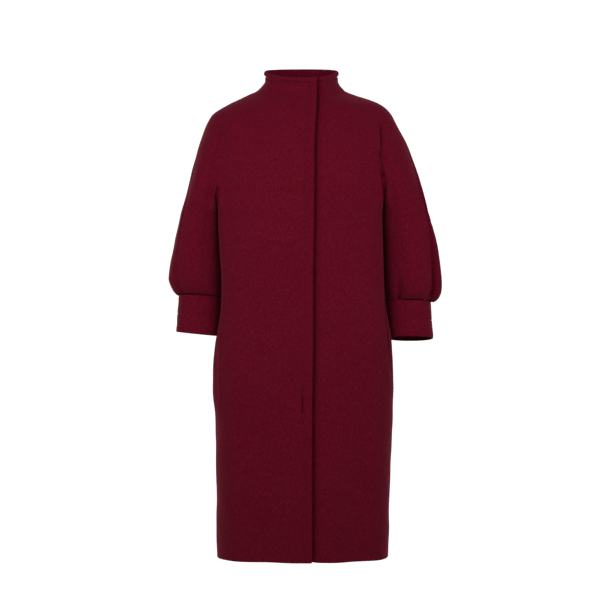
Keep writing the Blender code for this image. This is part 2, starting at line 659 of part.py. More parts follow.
def make_panels(sheets, normals, collection, cloth):
    """The two fronts and the two backs, each with its half sleeve and half collar."""
    for (side, face), (bm, place, points) in sheets.items():
        thicken(bm, normals, panel_rise(side, face, place, points), CLOTH)
        new_object(f"{face}_{side}", bm, collection, cloth)


def inset_patch(patch, margin):
    """A patch of points drawn in from the side seam, and narrowed towards its top and its end."""
    seam = patch[:, -1] - patch[:, -2]
    patch[:, -1] -= seam / np.linalg.norm(seam, axis=1, keepdims=True) * margin
    for row, share in enumerate(np.linspace(0, 1, len(patch))):
        pull = POCKET_BAG_ROUND_TOP * (1 - share) ** 2 + POCKET_BAG_ROUND_END * share**6
        patch[row, 0] += (patch[row, 1] - patch[row, 0]) * pull
    return patch


def make_pocket_bag(side, points, collection, cloth):
    """A flat bag inside the front, made from the front's own points beside the side seam."""
    split = body_columns("front")
    rows = [
        i for i, down in enumerate(TOP_ROWS + SIDE_ROWS)
        if POCKET_BAG_TOP < down < POCKET_BAG_END
    ]
    columns = range(split - POCKET_BAG_COLUMNS, split)
    patch = inset_patch(points[np.ix_(rows, columns)].copy(), POCKET_BAG_MARGIN)
    bm, place = cloth_grid(patch, np.ones((len(rows) - 1, len(columns) - 1), bool))
    face_outwards(bm, Vector((SIGN[side] * 0.10, 0.0, -0.55)))
    normals = shared_normals([(bm, place)])
    clear = CLOTH + POCKET_BAG_GAP
    thicken(bm, normals, lambda vertex: (-clear, -clear), POCKET_BAG_THICK)
    new_object(f"pocket_bag_{side}", bm, collection, cloth)


def cuff_rise(share):
    """Height of the cuff's outer face: rounded edges and a stitched line round the middle."""
    if share in (0.0, 1.0):
        return -CUFF_ROUND
    return -CUFF_STITCH_DEEP if share == CUFF_STITCH else 0.0


def make_cuff(side, collection, cloth):
    """A deep folded band, closed round the forearm."""
    degrees = np.linspace(0, 360, CUFF_TURNS + 1)
    points = np.array([cuff_arc(side, share, degrees) for share in CUFF_ROWS])
    points[:, :, 0] *= SIGN[side]
    bm, place = cloth_grid(points, np.ones((len(CUFF_ROWS) - 1, CUFF_TURNS), bool))
    rows = {key(vertex.co): place[vertex][0] for vertex in bm.verts}
    bmesh.ops.remove_doubles(bm, verts=bm.verts[:], dist=1e-5)
    middle = Vector(points[len(CUFF_ROWS) // 2].mean(axis=0))
    face_outwards(bm, middle)
    normals = shared_normals([(bm, place)])
    rises = {vertex: cuff_rise(CUFF_ROWS[rows[key(vertex.co)]]) for vertex in bm.verts}
    thicken(bm, normals, lambda vertex: (rises[vertex], 0.0), CUFF_THICK)
    new_object(f"cuff_{side}", bm, collection, cloth)


def front_middle(points, down):
    """The plain sheet of the fronts at the closure."""
    near = body_columns("front") - HIDDEN_COLUMNS
    line = np.array([point_at(row[:near] * (-1, 1, 1), -SNAP_ACROSS) for row in points])
    return Vector((SNAP_ACROSS, float(np.interp(down, -line[:, 2], line[:, 1])), -down))


def make_snaps(sheets_points, collection, metal):
    """Closed press snaps between the lapped fronts, in a row down the centre."""
    gap = 2 * LAP_RISE - CLOTH - 2 * SNAP_CLEAR
    half = gap / 2
    profile = (
        (0.0, -half), (SNAP_RADIUS, -half), (SNAP_RADIUS, 0.0),
        (SNAP_BUTTON_RADIUS, 0.1 * half), (SNAP_BUTTON_RADIUS, half), (0.0, half),
    )
    for number, down in enumerate(SNAP_DOWN, 1):
        mesh = bpy.data.meshes.new(f"snap_{number}")
        bm = bmesh.new()
        vertices = [bm.verts.new((radius, 0.0, height)) for radius, height in profile]
        for a, b in zip(vertices, vertices[1:]):
            bm.edges.new((a, b))
        bm.to_mesh(mesh)
        bm.free()
        mesh.materials.append(metal)
        snap = bpy.data.objects.new(f"snap_{number}", mesh)
        turned = snap.modifiers.new("Turned", "SCREW")
        turned.steps = turned.render_steps = SNAP_STEPS
        turned.use_merge_vertices = True
        turned.merge_threshold = 1e-5
        turned.use_normal_calculate = True
        above, here, below = (front_middle(sheets_points, down + step) for step in (-0.01, 0, 0.01))
        slope = (below - above).normalized()
        outward = Vector((0, -1, 0)) - slope * slope.dot(Vector((0, -1, 0)))
        snap.rotation_mode = "QUATERNION"
        snap.rotation_quaternion = outward.to_track_quat("Z", "X")
        snap.location = here - outward.normalized() * (CLOTH / 2)
        collection.objects.link(snap)


def main():
    for thing in list(bpy.data.objects):
        bpy.data.objects.remove(thing)
    coat = bpy.data.collections.new("cocoon_coat")
    bpy.context.scene.collection.children.link(coat)
    cloth = new_material("wine_wool", WINE, 0.95, 0.0)
    metal = new_material("snap_metal", DARK_METAL, 0.35, 1.0)
    sheets = coat_sheets()
    normals = shared_normals([(bm, place) for bm, place, _ in sheets.values()])
    for side in ("right", "left"):
        make_pocket_bag(side, sheets[side, "front"][2], coat, cloth)
        make_cuff(side, coat, cloth)
    make_snaps(sheets["right", "front"][2], coat, metal)
    make_panels(sheets, normals, coat, cloth)


main()
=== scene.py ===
"""The looks of a knee-length cocoon coat in felted wool, worn and hollow.

Every panel is a thin shell of cloth on its solid's own form, worked out from the same sections on a
finer grid, with its creases, gathers, rolled edges and topstitching. Metres, +Z up, +X towards the
wearer's left and +Y towards the back. The origin is the middle of the base of the neck.
"""

import math
from collections import namedtuple
from functools import lru_cache

import bmesh
import bpy
import numpy as np
from mathutils import Matrix, Vector


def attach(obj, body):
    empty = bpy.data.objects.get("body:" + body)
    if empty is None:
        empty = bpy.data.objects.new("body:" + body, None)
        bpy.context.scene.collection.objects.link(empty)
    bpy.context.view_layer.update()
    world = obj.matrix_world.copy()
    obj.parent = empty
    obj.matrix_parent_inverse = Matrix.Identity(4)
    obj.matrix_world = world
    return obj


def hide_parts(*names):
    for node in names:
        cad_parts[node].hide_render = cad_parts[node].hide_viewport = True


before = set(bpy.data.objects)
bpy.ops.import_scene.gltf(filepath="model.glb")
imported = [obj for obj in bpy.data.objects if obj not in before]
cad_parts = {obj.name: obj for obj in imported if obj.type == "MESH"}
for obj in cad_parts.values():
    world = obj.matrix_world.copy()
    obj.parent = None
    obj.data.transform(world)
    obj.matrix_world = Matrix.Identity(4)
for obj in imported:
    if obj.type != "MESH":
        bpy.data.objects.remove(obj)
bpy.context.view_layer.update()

bl_info = {
    "name": "Cocoon coat",
    "version": (1, 0, 0),
    "blender": (4, 5, 0),
    "location": "View3D > Sidebar > Coat",
    "description": "Builds the cloth, stitching and studio of a cocoon coat",
    "category": "Object",
}

# The sections of the coat, as in its solids
CLOTH = 0.003  # the wool's thickness
UNDERARM = 0.240  # how far down the body and the sleeve part
SLEEVE_END = 0.436  # where the sleeve is sewn to the cuff, measured down along the sleeve
COLLAR_TOP = -0.058
HEM = 0.9495
CREASE_TOP = 0.050  # where the fold between body and sleeve starts
FOLD_HALF = 0.012  # half of the strip at the bottom of the fold, as a share of the ring
FOLD_REACH = 0.35  # how much of the hidden stretch of each ring the fold takes to turn into it
FOLD_POWER = {"right": 5.0, "left": 3.5}  # how late the fold deepens on its way down
ARM_GAP = 0.0022  # between the body and the sleeve
CUFF_ARM_GAP = 0.0018  # between the body and the cuff
CUFF_NEAR = 0.380  # where the sleeve's gap starts to turn into the cuff's
CUFF_NEAR_REACH = 0.040  # and the height over which it does
LEAN_START = 0.250  # where the sleeve's rows start to lean as the cuff does
UNDERARM_TURN = 156  # the underarm seam's place round the sleeve, in degrees
RING_SOFT = 0.02  # how softly a ring bends at its middle
PRESS_PLACE = 0.020  # the depth at which the arm presses the body's side in
PRESS_REACH = 0.060  # how far that reaches to the front and the back
PRESS_FADE = 0.12  # and the half width from which it is in full
UNDERLAP = 0.030  # how far the left front runs on past the centre
LAP_RISE = 0.0036  # how far the lap stands out and the cloth under it lies in
LAP_WIDTH = 0.050  # how much of the lap stands out in full
LAP_EASE = 0.045  # and the width over which that runs out
UNDER_PAST = 0.004  # how far past the edge the left front lies in, in full
UNDER_EASE = 0.016  # and the width over which that runs out
COLLAR_STITCH = 0.0115  # from the collar's edge to its stitched line
LAP_STITCH = 0.0145  # from the front's edge to its stitched line
POCKET_TOP, POCKET_END = 0.445, 0.625  # where the pocket mouths lie
POCKET_STAND = 0.0026  # how far they stand out
POCKET_EASE = 0.060  # the height over which that runs out
POCKET_REACH = 0.045  # and the width
CUFF_THICK = 0.004
CUFF_GAP = 0.0002  # between the sleeve and its cuff
CUFF_SQUARE = 2.2  # the power of the cuff's ring, 2 for an ellipse
SIGN = {"right": -1.0, "left": 1.0}

# Rings of body and sleeve in one, from the collar's top to the underarm. down is how far below the
# origin each one's middle lies, right, left, front and back how far it reaches, square the power of
# its curve (2 for an ellipse), dip and lift its slope in front and behind, fold_right and fold_left
# the fold between body and sleeve as shares of the half widths, and seam how many degrees the
# overarm seam lies in front of the side.
Shoulder = namedtuple("Shoulder", "down right left front back square dip lift fold_right fold_left seam")
SHOULDER = (
    Shoulder(-0.058, 0.0776, 0.0736, 0.0660, 0.0720, 2.00, 0.330, 0.140, 0.80, 0.80, 0),
    Shoulder(-0.045, 0.0774, 0.0738, 0.0665, 0.0725, 2.00, 0.320, 0.150, 0.80, 0.80, 0),
    Shoulder(-0.035, 0.0788, 0.0746, 0.0680, 0.0735, 2.00, 0.290, 0.170, 0.80, 0.80, 0),
    Shoulder(-0.029, 0.0830, 0.0770, 0.0695, 0.0752, 2.00, 0.270, 0.190, 0.80, 0.80, 0),
    Shoulder(-0.022, 0.0895, 0.0830, 0.0718, 0.0780, 2.00, 0.240, 0.200, 0.80, 0.80, 0),
    Shoulder(-0.015, 0.0968, 0.0902, 0.0745, 0.0805, 2.00, 0.220, 0.200, 0.80, 0.80, 0),
    Shoulder(-0.006, 0.1145, 0.1130, 0.0785, 0.0850, 2.00, 0.190, 0.190, 0.80, 0.80, 0),
    Shoulder(0.002, 0.1325, 0.1392, 0.0825, 0.0900, 2.00, 0.165, 0.165, 0.80, 0.80, 0),
    Shoulder(0.010, 0.1520, 0.1588, 0.0860, 0.0945, 2.00, 0.140, 0.140, 0.80, 0.80, 0),
    Shoulder(0.019, 0.1684, 0.1724, 0.0895, 0.0985, 2.02, 0.118, 0.118, 0.80, 0.80, 0),
    Shoulder(0.027, 0.1800, 0.1804, 0.0925, 0.1015, 2.04, 0.100, 0.100, 0.80, 0.80, 1),
    Shoulder(0.035, 0.1888, 0.1864, 0.0950, 0.1045, 2.06, 0.085, 0.085, 0.80, 0.80, 2),
    Shoulder(0.052, 0.1990, 0.1953, 0.1005, 0.1100, 2.10, 0.060, 0.060, 0.81, 0.805, 4),
    Shoulder(0.069, 0.2060, 0.2039, 0.1055, 0.1150, 2.14, 0.040, 0.040, 0.805, 0.795, 6),
    Shoulder(0.085, 0.2116, 0.2120, 0.1100, 0.1195, 2.18, 0.022, 0.022, 0.79, 0.76, 7),
    Shoulder(0.106, 0.2179, 0.2212, 0.1155, 0.1250, 2.22, 0.008, 0.008, 0.77, 0.73, 9),
    Shoulder(0.148, 0.2290, 0.2370, 0.1250, 0.1350, 2.28, 0.0, 0.0, 0.755, 0.70, 12),
    Shoulder(0.200, 0.2423, 0.2528, 0.1330, 0.1430, 2.34, 0.0, 0.0, 0.725, 0.67, 15),
    Shoulder(0.240, 0.2525, 0.2635, 0.1366, 0.1472, 2.40, 0.0, 0.0, 0.695, 0.645, 17),
)

# The body's own rings. widest is the depth at which each is widest, press how far the arm presses
# its side in and seam the side seam's place in degrees from centre front.
Body = namedtuple("Body", "down right left front back widest press square seam")
BODY = (
    Body(0.050, 0.1650, 0.1600, 0.1000, 0.1090, -0.010, 0.000, 2.20, 90),
    Body(0.130, 0.1720, 0.1620, 0.1215, 0.1310, -0.018, 0.000, 2.30, 90),
    Body(0.200, 0.1772, 0.1668, 0.1330, 0.1430, -0.026, 0.004, 2.42, 90),
    Body(0.250, 0.1772, 0.1675, 0.1375, 0.1480, -0.032, 0.009, 2.50, 89),
    Body(0.314, 0.1740, 0.1690, 0.1405, 0.1535, -0.038, 0.013, 2.58, 87),
    Body(0.385, 0.1698, 0.1708, 0.1420, 0.1575, -0.040, 0.014, 2.60, 85),
    Body(0.450, 0.1712, 0.1758, 0.1425, 0.1595, -0.038, 0.012, 2.60, 84),
    Body(0.512, 0.1798, 0.1836, 0.1420, 0.1600, -0.030, 0.005, 2.58, 83.5),
    Body(0.601, 0.1846, 0.1866, 0.1405, 0.1580, -0.020, 0.000, 2.56, 84),
    Body(0.688, 0.1800, 0.1860, 0.1390, 0.1530, -0.010, 0.000, 2.54, 86),
    Body(0.792, 0.1790, 0.1818, 0.1370, 0.1450, -0.004, 0.000, 2.52, 88),
    Body(0.876, 0.1790, 0.1795, 0.1350, 0.1365, 0.000, 0.000, 2.50, 90),
    Body(0.9495, 0.1775, 0.1780, 0.1330, 0.1280, 0.000, 0.000, 2.50, 90),
)

# How far past the centre the right front's edge lies, which swings a little as it hangs
LapEdge = namedtuple("LapEdge", "down past")
LAP_EDGE = (
    LapEdge(0.000, 0.0286),
    LapEdge(0.030, 0.0270),
    LapEdge(0.060, 0.0250),
    LapEdge(0.090, 0.0238),
    LapEdge(0.130, 0.0233),
    LapEdge(0.240, 0.0226),
    LapEdge(0.300, 0.0216),
    LapEdge(0.360, 0.0207),
    LapEdge(0.510, 0.0206),
    LapEdge(0.570, 0.0197),
    LapEdge(0.640, 0.0187),
    LapEdge(0.900, 0.0186),
)

# The sleeve's own rings. down is measured along the sleeve, height is how far below the origin the
# outer side lies, in and out are its reach, middle, front and back its depths, and seam is the
# overarm seam's place in degrees from its outer side over the front.
Sleeve = namedtuple(
    "Sleeve",
    "down height_right height_left in_right out_right in_left out_left middle front back square seam",
)
SLEEVE = (
    Sleeve(0.050, 0.050, 0.050, 0.1500, 0.1985, 0.1480, 0.1945, 0.002, 0.064, 0.068, 2.2, 6),
    Sleeve(0.130, 0.130, 0.130, 0.1620, 0.2245, 0.1560, 0.2305, 0.002, 0.076, 0.080, 2.2, 20),
    Sleeve(0.200, 0.200, 0.200, 0.1650, 0.2423, 0.1580, 0.2528, 0.004, 0.083, 0.088, 2.2, 32),
    Sleeve(0.250, 0.250, 0.250, 0.1660, 0.2552, 0.1610, 0.2660, 0.006, 0.086, 0.092, 2.2, 39),
    Sleeve(0.310, 0.310, 0.310, 0.1655, 0.2692, 0.1630, 0.2797, 0.007, 0.088, 0.095, 2.2, 46),
    Sleeve(0.350, 0.350, 0.354, 0.1650, 0.2762, 0.1640, 0.2860, 0.006, 0.087, 0.095, 2.2, 49),
    Sleeve(0.376, 0.374, 0.384, 0.1650, 0.2776, 0.1660, 0.2880, 0.004, 0.084, 0.092, 2.2, 50),
    Sleeve(0.396, 0.391, 0.402, 0.1655, 0.2725, 0.1680, 0.2864, 0.001, 0.078, 0.086, 2.2, 50),
    Sleeve(0.412, 0.402, 0.414, 0.1660, 0.2660, 0.1690, 0.2806, -0.003, 0.069, 0.078, 2.2, 49),
    Sleeve(0.424, 0.4070, 0.4202, 0.1664, 0.2608, 0.1698, 0.2725, -0.006, 0.060, 0.068, 2.2, 48),
    Sleeve(0.436, 0.4078, 0.4213, 0.1665, 0.2572, 0.1700, 0.2664, -0.008, 0.053, 0.057, 2.2, 47),
)

# Each cuff's upper and lower edge. slope is how steeply its ring falls towards the body, and lean
# how steeply it falls to the back.
Cuff = namedtuple("Cuff", "height in_ out middle front back slope lean")
CUFFS = {
    "right": (Cuff(0.4090, 0.1665, 0.2568, -0.008, 0.0530, 0.0570, 0.08, 0.10),
              Cuff(0.4840, 0.1715, 0.2620, -0.014, 0.0545, 0.0585, 0.10, 0.01)),
    "left": (Cuff(0.4225, 0.1700, 0.2664, -0.008, 0.0530, 0.0570, 0.0, 0.09),
             Cuff(0.4980, 0.1770, 0.2710, -0.014, 0.0545, 0.0585, 0.0, 0.107)),
}

# Folds where the sleeve is gathered into its cuff. turn is the place round the sleeve in degrees,
# from the outer side over the front, deep and wide the fold's depth and half width in degrees,
# reach how far up it runs and end the stretch over which it flattens out before the cuff.
Pleat = namedtuple("Pleat", "turn deep wide reach end")
PLEATS = {
    "right": (
        Pleat(50, 0.0018, 12, 0.120, 0.028),
        Pleat(128, 0.0016, 12, 0.030, 0.028),
        Pleat(232, 0.0040, 13, 0.060, 0.028),
        Pleat(275, 0.0050, 13, 0.075, 0.028),
        Pleat(318, 0.0050, 14, 0.090, 0.028),
        Pleat(22, 0.0012, 5, 0.026, 0.007),
        Pleat(68, 0.0013, 4, 0.022, 0.006),
        Pleat(83, 0.0017, 4, 0.034, 0.006),
        Pleat(97, 0.0012, 4, 0.024, 0.006),
        Pleat(113, 0.0016, 5, 0.030, 0.007),
        Pleat(205, 0.0017, 6, 0.036, 0.007),
        Pleat(252, 0.0018, 5, 0.040, 0.007),
        Pleat(297, 0.0018, 6, 0.044, 0.007),
        Pleat(344, 0.0014, 5, 0.030, 0.007),
    ),
    "left": (
        Pleat(48, 0.0085, 11, 0.190, 0.028),
        Pleat(140, 0.0034, 11, 0.045, 0.028),
        Pleat(236, 0.0040, 13, 0.060, 0.028),
        Pleat(278, 0.0050, 13, 0.070, 0.028),
        Pleat(322, 0.0045, 14, 0.080, 0.028),
        Pleat(18, 0.0012, 5, 0.024, 0.007),
        Pleat(74, 0.0014, 5, 0.028, 0.006),
        Pleat(92, 0.0018, 4, 0.036, 0.006),
        Pleat(106, 0.0013, 4, 0.022, 0.006),
        Pleat(118, 0.0150, 7, 0.090, 0.008),
        Pleat(208, 0.0016, 6, 0.034, 0.007),
        Pleat(257, 0.0019, 5, 0.042, 0.007),
        Pleat(301, 0.0016, 6, 0.038, 0.007),
        Pleat(346, 0.0013, 5, 0.026, 0.007),
    ),
}

# Creases placed as seen from the front or the back. x and z are where each starts, to_x
# and to_z where it ends, bow how far its middle swings to +X, deep its depth (a ridge is negative),
# wide its half width, lip how much of its depth the cloth rises beside it, and fade and to_fade the
# share of its length over which each end runs out.
Crease = namedtuple("Crease", "face x z to_x to_z bow deep wide lip fade to_fade")
CREASES = (
    # the wearer's right shoulder and the hollow beside the arm
    Crease("front", -0.184, -0.056, -0.160, -0.092, 0.004, 0.0080, 0.0075, 0.25, 0.45, 0.50),
    Crease("front", -0.169, -0.078, -0.183, -0.240, 0.002, 0.0082, 0.0130, 0.0, 0.25, 0.16),
    Crease("front", -0.160, -0.170, -0.157, -0.430, 0.002, 0.0056, 0.0160, 0.0, 0.40, 0.40),
    Crease("front", -0.192, -0.180, -0.198, -0.390, -0.002, 0.0012, 0.0180, 0.0, 0.45, 0.30),
    Crease("front", -0.205, -0.115, -0.216, -0.230, -0.004, -0.0022, 0.0120, 0.0, 0.40, 0.50),
    # the wearer's left shoulder and the long narrow crease under it
    Crease("front", 0.1615, -0.036, 0.1632, -0.132, -0.0006, 0.0080, 0.0036, 0.05, 0.40, 0.15),
    Crease("front", 0.1610, -0.106, 0.1652, -0.176, 0.0, 0.0135, 0.0068, 0.05, 0.20, 0.18),
    Crease("front", 0.1650, -0.150, 0.1680, -0.238, 0.0008, 0.0120, 0.0078, 0.08, 0.25, 0.20),
    Crease("front", 0.120, -0.078, 0.150, -0.150, 0.004, 0.0020, 0.0120, 0.4, 0.50, 0.50),
    # pulls across the chest and the waist
    Crease("front", -0.020, -0.175, -0.110, -0.120, 0.0, 0.0016, 0.0150, 0.5, 0.50, 0.50),
    Crease("front", 0.045, -0.250, 0.130, -0.190, 0.0, 0.0014, 0.0160, 0.5, 0.50, 0.50),
    Crease("front", 0.040, -0.500, 0.135, -0.455, 0.0, 0.0013, 0.0170, 0.5, 0.50, 0.50),
    Crease("front", -0.030, -0.560, -0.130, -0.505, 0.0, 0.0012, 0.0180, 0.5, 0.50, 0.50),
    # long soft waves down to the hem
    Crease("front", -0.138, -0.400, -0.134, -0.970, -0.004, -0.0042, 0.0240, 0.0, 0.50, 0.02),
    Crease("front", -0.074, -0.560, -0.066, -0.970, 0.005, 0.0048, 0.0280, 0.3, 0.60, 0.02),
    Crease("front", 0.058, -0.640, 0.062, -0.970, 0.003, -0.0030, 0.0240, 0.0, 0.60, 0.02),
    Crease("front", 0.108, -0.600, 0.116, -0.970, -0.005, 0.0054, 0.0260, 0.3, 0.60, 0.02),
    Crease("front", 0.154, -0.560, 0.150, -0.970, 0.004, -0.0030, 0.0180, 0.0, 0.60, 0.02),
    # the back: soft folds below the shoulder blades, and pulls from the underarms
    Crease("back", -0.092, -0.070, -0.086, -0.420, 0.006, -0.0034, 0.0240, 0.2, 0.40, 0.60),
    Crease("back", 0.088, -0.080, 0.094, -0.470, -0.005, -0.0036, 0.0260, 0.2, 0.40, 0.60),
    Crease("back", -0.036, -0.250, -0.044, -0.970, -0.008, 0.0034, 0.0280, 0.4, 0.50, 0.02),
    Crease("back", 0.044, -0.330, 0.052, -0.970, 0.008, 0.0038, 0.0300, 0.4, 0.50, 0.02),
    Crease("back", -0.118, -0.420, -0.126, -0.970, 0.006, 0.0030, 0.0240, 0.4, 0.50, 0.02),
    Crease("back", 0.126, -0.480, 0.120, -0.970, -0.006, 0.0026, 0.0230, 0.4, 0.50, 0.02),
    Crease("back", -0.158, -0.205, -0.070, -0.330, -0.006, 0.0022, 0.0140, 0.4, 0.15, 0.60),
    Crease("back", 0.154, -0.215, 0.066, -0.320, 0.006, 0.0020, 0.0130, 0.4, 0.15, 0.60),
    Crease("back", -0.165, -0.060, -0.171, -0.190, -0.003, 0.0040, 0.0080, 0.4, 0.35, 0.40),
    Crease("back", 0.160, -0.050, 0.164, -0.185, 0.003, 0.0042, 0.0080, 0.4, 0.35, 0.40),
    Crease("back", -0.060, -0.040, 0.060, -0.036, 0.0, 0.0012, 0.0150, 0.5, 0.50, 0.50),
    # the sleeves, front and back
    Crease("front", -0.205, -0.300, -0.246, -0.352, 0.004, 0.0012, 0.0110, 0.4, 0.40, 0.50),
    Crease("front", 0.236, -0.240, 0.214, -0.330, 0.004, 0.0013, 0.0120, 0.4, 0.50, 0.50),
    Crease("back", -0.196, -0.180, -0.246, -0.330, -0.008, 0.0034, 0.0130, 0.4, 0.30, 0.50),
    Crease("back", 0.198, -0.190, 0.256, -0.345, 0.008, 0.0036, 0.0130, 0.4, 0.30, 0.50),
    Crease("back", -0.190, -0.300, -0.214, -0.395, -0.003, 0.0026, 0.0100, 0.4, 0.40, 0.20),
    Crease("back", 0.194, -0.305, 0.222, -0.405, 0.003, 0.0026, 0.0100, 0.4, 0.40, 0.20),
)

# The rolled edges of the pocket mouths, pressed into the outer face
POCKET_LINES = (
    Crease("front", 0.1662, -0.405, 0.1838, -0.602, 0.0, 0.0012, 0.0022, 0.60, 0.06, 0.20),
    Crease("front", -0.1725, -0.470, -0.1740, -0.665, -0.0020, 0.0010, 0.0022, 0.50, 0.30, 0.40),
)

CREASE_POINTS = 9  # along each crease
CREASE_TURNED = 0.45  # how far the cloth faces a crease's side where the crease is in full
POCKET_TURNED = 0.10  # the same for the pocket mouths, both as cosines
CREASE_LIP_AT = 2.1  # the lips' distance from a crease, in half widths
SHORTEST_FADE = 1e-3  # as a share of a crease's length

# Unevenness of the whole cloth. across, deep and down are how many waves each metre holds along
# X, Y and Z, turn its phase and high its height.
Wave = namedtuple("Wave", "across deep down turn high")
WAVES = (
    Wave(7.3, 3.1, 4.7, 0.6, 0.00042),
    Wave(-5.2, 6.4, 8.9, 2.1, 0.00036),
    Wave(11.8, -4.9, 6.1, 4.4, 0.00028),
    Wave(-9.4, 8.2, -12.3, 1.3, 0.00022),
    Wave(15.7, 10.6, 17.9, 3.7, 0.00014),
)

# How finely the cloth is divided
FINE_DENSE = 241  # points along a ring before it is divided
RIM_STEPS = (0.0, 0.0003, 0.0008, 0.0015, 0.0026, 0.0042)  # columns beside a seam, from it
LAP_STEPS = (
    0.0, 0.0003, 0.0008, 0.0015, 0.0028, 0.0044, 0.0062, 0.0080, 0.0098, 0.0114, 0.0127, 0.0137,
    0.0145, 0.0153, 0.0163, 0.0176, 0.0192,
)
LAP_FILL = 3  # columns between those and the centre
HIDDEN_COLUMNS = 16  # where body and sleeve face each other
BODY_COLUMNS = 54  # on the rest of the body
SLEEVE_COLUMNS = 36  # and on the rest of the sleeve
STRIP_COLUMNS = 4  # inside the strip at the bottom of the fold
ROLL_ROWS, ROLL_ROWS_END = 0.0009, -0.040  # between rows on the collar's roll, down to here
SHOULDER_ROWS, SHOULDER_ROWS_END = 0.55, 0.060  # on the shoulders, in spacings, down to here
BODY_ROWS, SLEEVE_ROWS = 1.1, 0.9  # and below the underarm, in spacings
SOLID_HIDDEN_SHARE = 3 / 9  # the hidden columns' share of a solid's row at the collar
HIDDEN_SHIFT = 1.4  # how much earlier than the fold the hidden columns' share is in full
HIDDEN_LEAST = 0.030  # the least length of cloth they take
SOFT_TURNS = {"right": 30, "left": 12}  # how often the fold of body and sleeve is smoothed
SOFT_NORMALS = 40  # and the directions in which creases press it in
SOFT_REACH = 16  # over how many columns on each side of it
SOFT_START, SOFT_FULL = 0.040, 0.070  # where the smoothing starts and where it is in full
SOFT_END = {"right": (0.195, 0.239), "left": (0.110, 0.230)}  # where the fold turns sharp
FREE_END = {"right": (0.165, 0.235), "left": (0.145, 0.215)}  # where creases leave the fold out
FREE_AGAIN, FREE_AGAIN_REACH = 0.470, 0.060  # where the body's side is open again, below the cuff
FREE_COLUMNS = 3  # columns on each side of the fold's mouth over which creases run out
FREE_CUFF, FREE_CUFF_REACH = 0.006, 0.020  # and the height above the cuff

# Relief of the cloth's edges and seams
RIM_ROUND = 0.0014  # radius of an open edge
SEAM_DITCH, SEAM_WIDE = 0.0012, 0.0016  # how far the cloth sinks into a seam, and over what width
CUFF_DITCH = 0.0034  # how far the sleeve draws in where it meets its cuff
CUFF_DITCH_WIDE = 0.0019  # and over what height
# The rolled edge of collar and lap: places as shares of the distance to the stitches, and heights
ROLL_PROFILE = (
    (0.0, 0.0), (0.10, 0.0010), (0.25, 0.0022), (0.45, 0.0027), (0.65, 0.0021), (0.82, 0.0002),
    (0.93, -0.0023), (1.0, -0.0030), (1.07, -0.0021), (1.18, 0.0), (1.35, 0.0004), (1.7, 0.0),
)
LAP_ROLL_LESS = 0.58  # how much flatter the roll is down the front edge than round the collar
GROOVE_DEEP = 0.0064  # how much deeper the left front lies just past the right front's edge
GROOVE_WIDE = 0.0054  # half of that groove's width
GROOVE_PAST = 0.0015  # and how far past the edge its middle lies
GROOVE_STEPS = (
    0.0, 0.006, 0.012, 0.0155, 0.0175, 0.0190, 0.0205, 0.0220, 0.0235, 0.0250, 0.0265, 0.0280,
    0.0295, 0.0310, 0.0325, 0.0345, 0.0370, 0.0400,
)  # columns beside the centre of the left front
SEAM_FOLD = {"right": 0.0036, "left": 0.0250}  # how deep the sleeve creases at the overarm seam
SEAM_FOLD_TOP, SEAM_FOLD_FULL = 0.060, 0.270  # where that starts and where it is in full
SEAM_FOLD_END = 0.009  # the stretch above the cuff over which it flattens out
SEAM_FOLD_FRONT = 0.0024  # how wide it is in front of the seam
SEAM_FOLD_BACK = (0.0030, 0.0130)  # and behind it, at its top and its bottom
SEAM_FOLD_OPENS = (0.200, 0.340)  # where it widens from the one to the other
SEAM_FOLD_LIP = 0.16  # how far the cloth rises beside it, as a share of its depth
SEAM_FOLD_LIP_AT = 2.4  # and how far off, in half widths
FAR = 1.0  # a distance from an edge or a seam at which it has no effect
SHARP_ANGLE = 60  # degrees from which an edge is shaded sharp

# The pocket bags
POCKET_BAG_TOP = 0.402
POCKET_BAG_END = 0.738
POCKET_BAG_THICK = 0.0024
POCKET_BAG_GAP = 0.0003  # between the bag and the front
POCKET_BAG_MARGIN = 0.006  # between the bag and the side seam
POCKET_BAG_WIDE = 0.080
POCKET_BAG_ROUND_TOP = 0.007  # how far its inner edge draws in at the top
POCKET_BAG_ROUND_END = 0.006  # and at the lower corner
POCKET_BAG_COLUMNS = 26

# The cuffs
CUFF_TURNS = 168  # columns round a cuff
CUFF_FILL = 9  # rows between its fine ones
# Rows beside a cuff's stitched line, from it
CUFF_STITCH_ROWS = (-0.004, -0.0026, -0.0015, -0.0007, 0.0, 0.0007, 0.0015, 0.0026, 0.004)
CUFF_ROLL = 0.0010  # how far the stitched line presses into the cuff
CUFF_STITCH_WIDE = 0.0016  # and over what half width
CUFF_SWELL = 0.0005  # how far the cloth swells beside the cuff's edges
CUFF_SWELL_AT, CUFF_SWELL_WIDE = 0.006, 0.005  # how far from them, and over what half width
CUFF_RIPPLE = 0.35  # its waves' height as a share of the whole cloth's
CUFF_RIPPLE_FINER = 2.2  # and how much finer they are
CUFF_EASE = 0.010  # the width over which they run out at its edges

# The topstitching
STITCH_PITCH = 0.0040  # from one stitch to the next
STITCH_LONG = 0.0031
STITCH_THICK = 0.00055
STITCH_SINK = 0.00006  # how deep a stitch's middle lies in the cloth
STITCH_TURNS = 6  # faces round a stitch
STITCH_RINGS = 4  # and along it

# The flat size of what shows of each piece's cut, in metres, and its area in square metres
Cut = namedtuple("Cut", "wide long area")

# The darkest, middle and palest fibres as shares of the wool's colour
DARK_FIBRES = (0.46, 0.05, 0.22)
MIDDLE_FIBRES = (1.02, 0.80, 0.86)
PALE_FIBRES = (1.58, 5.60, 3.30)
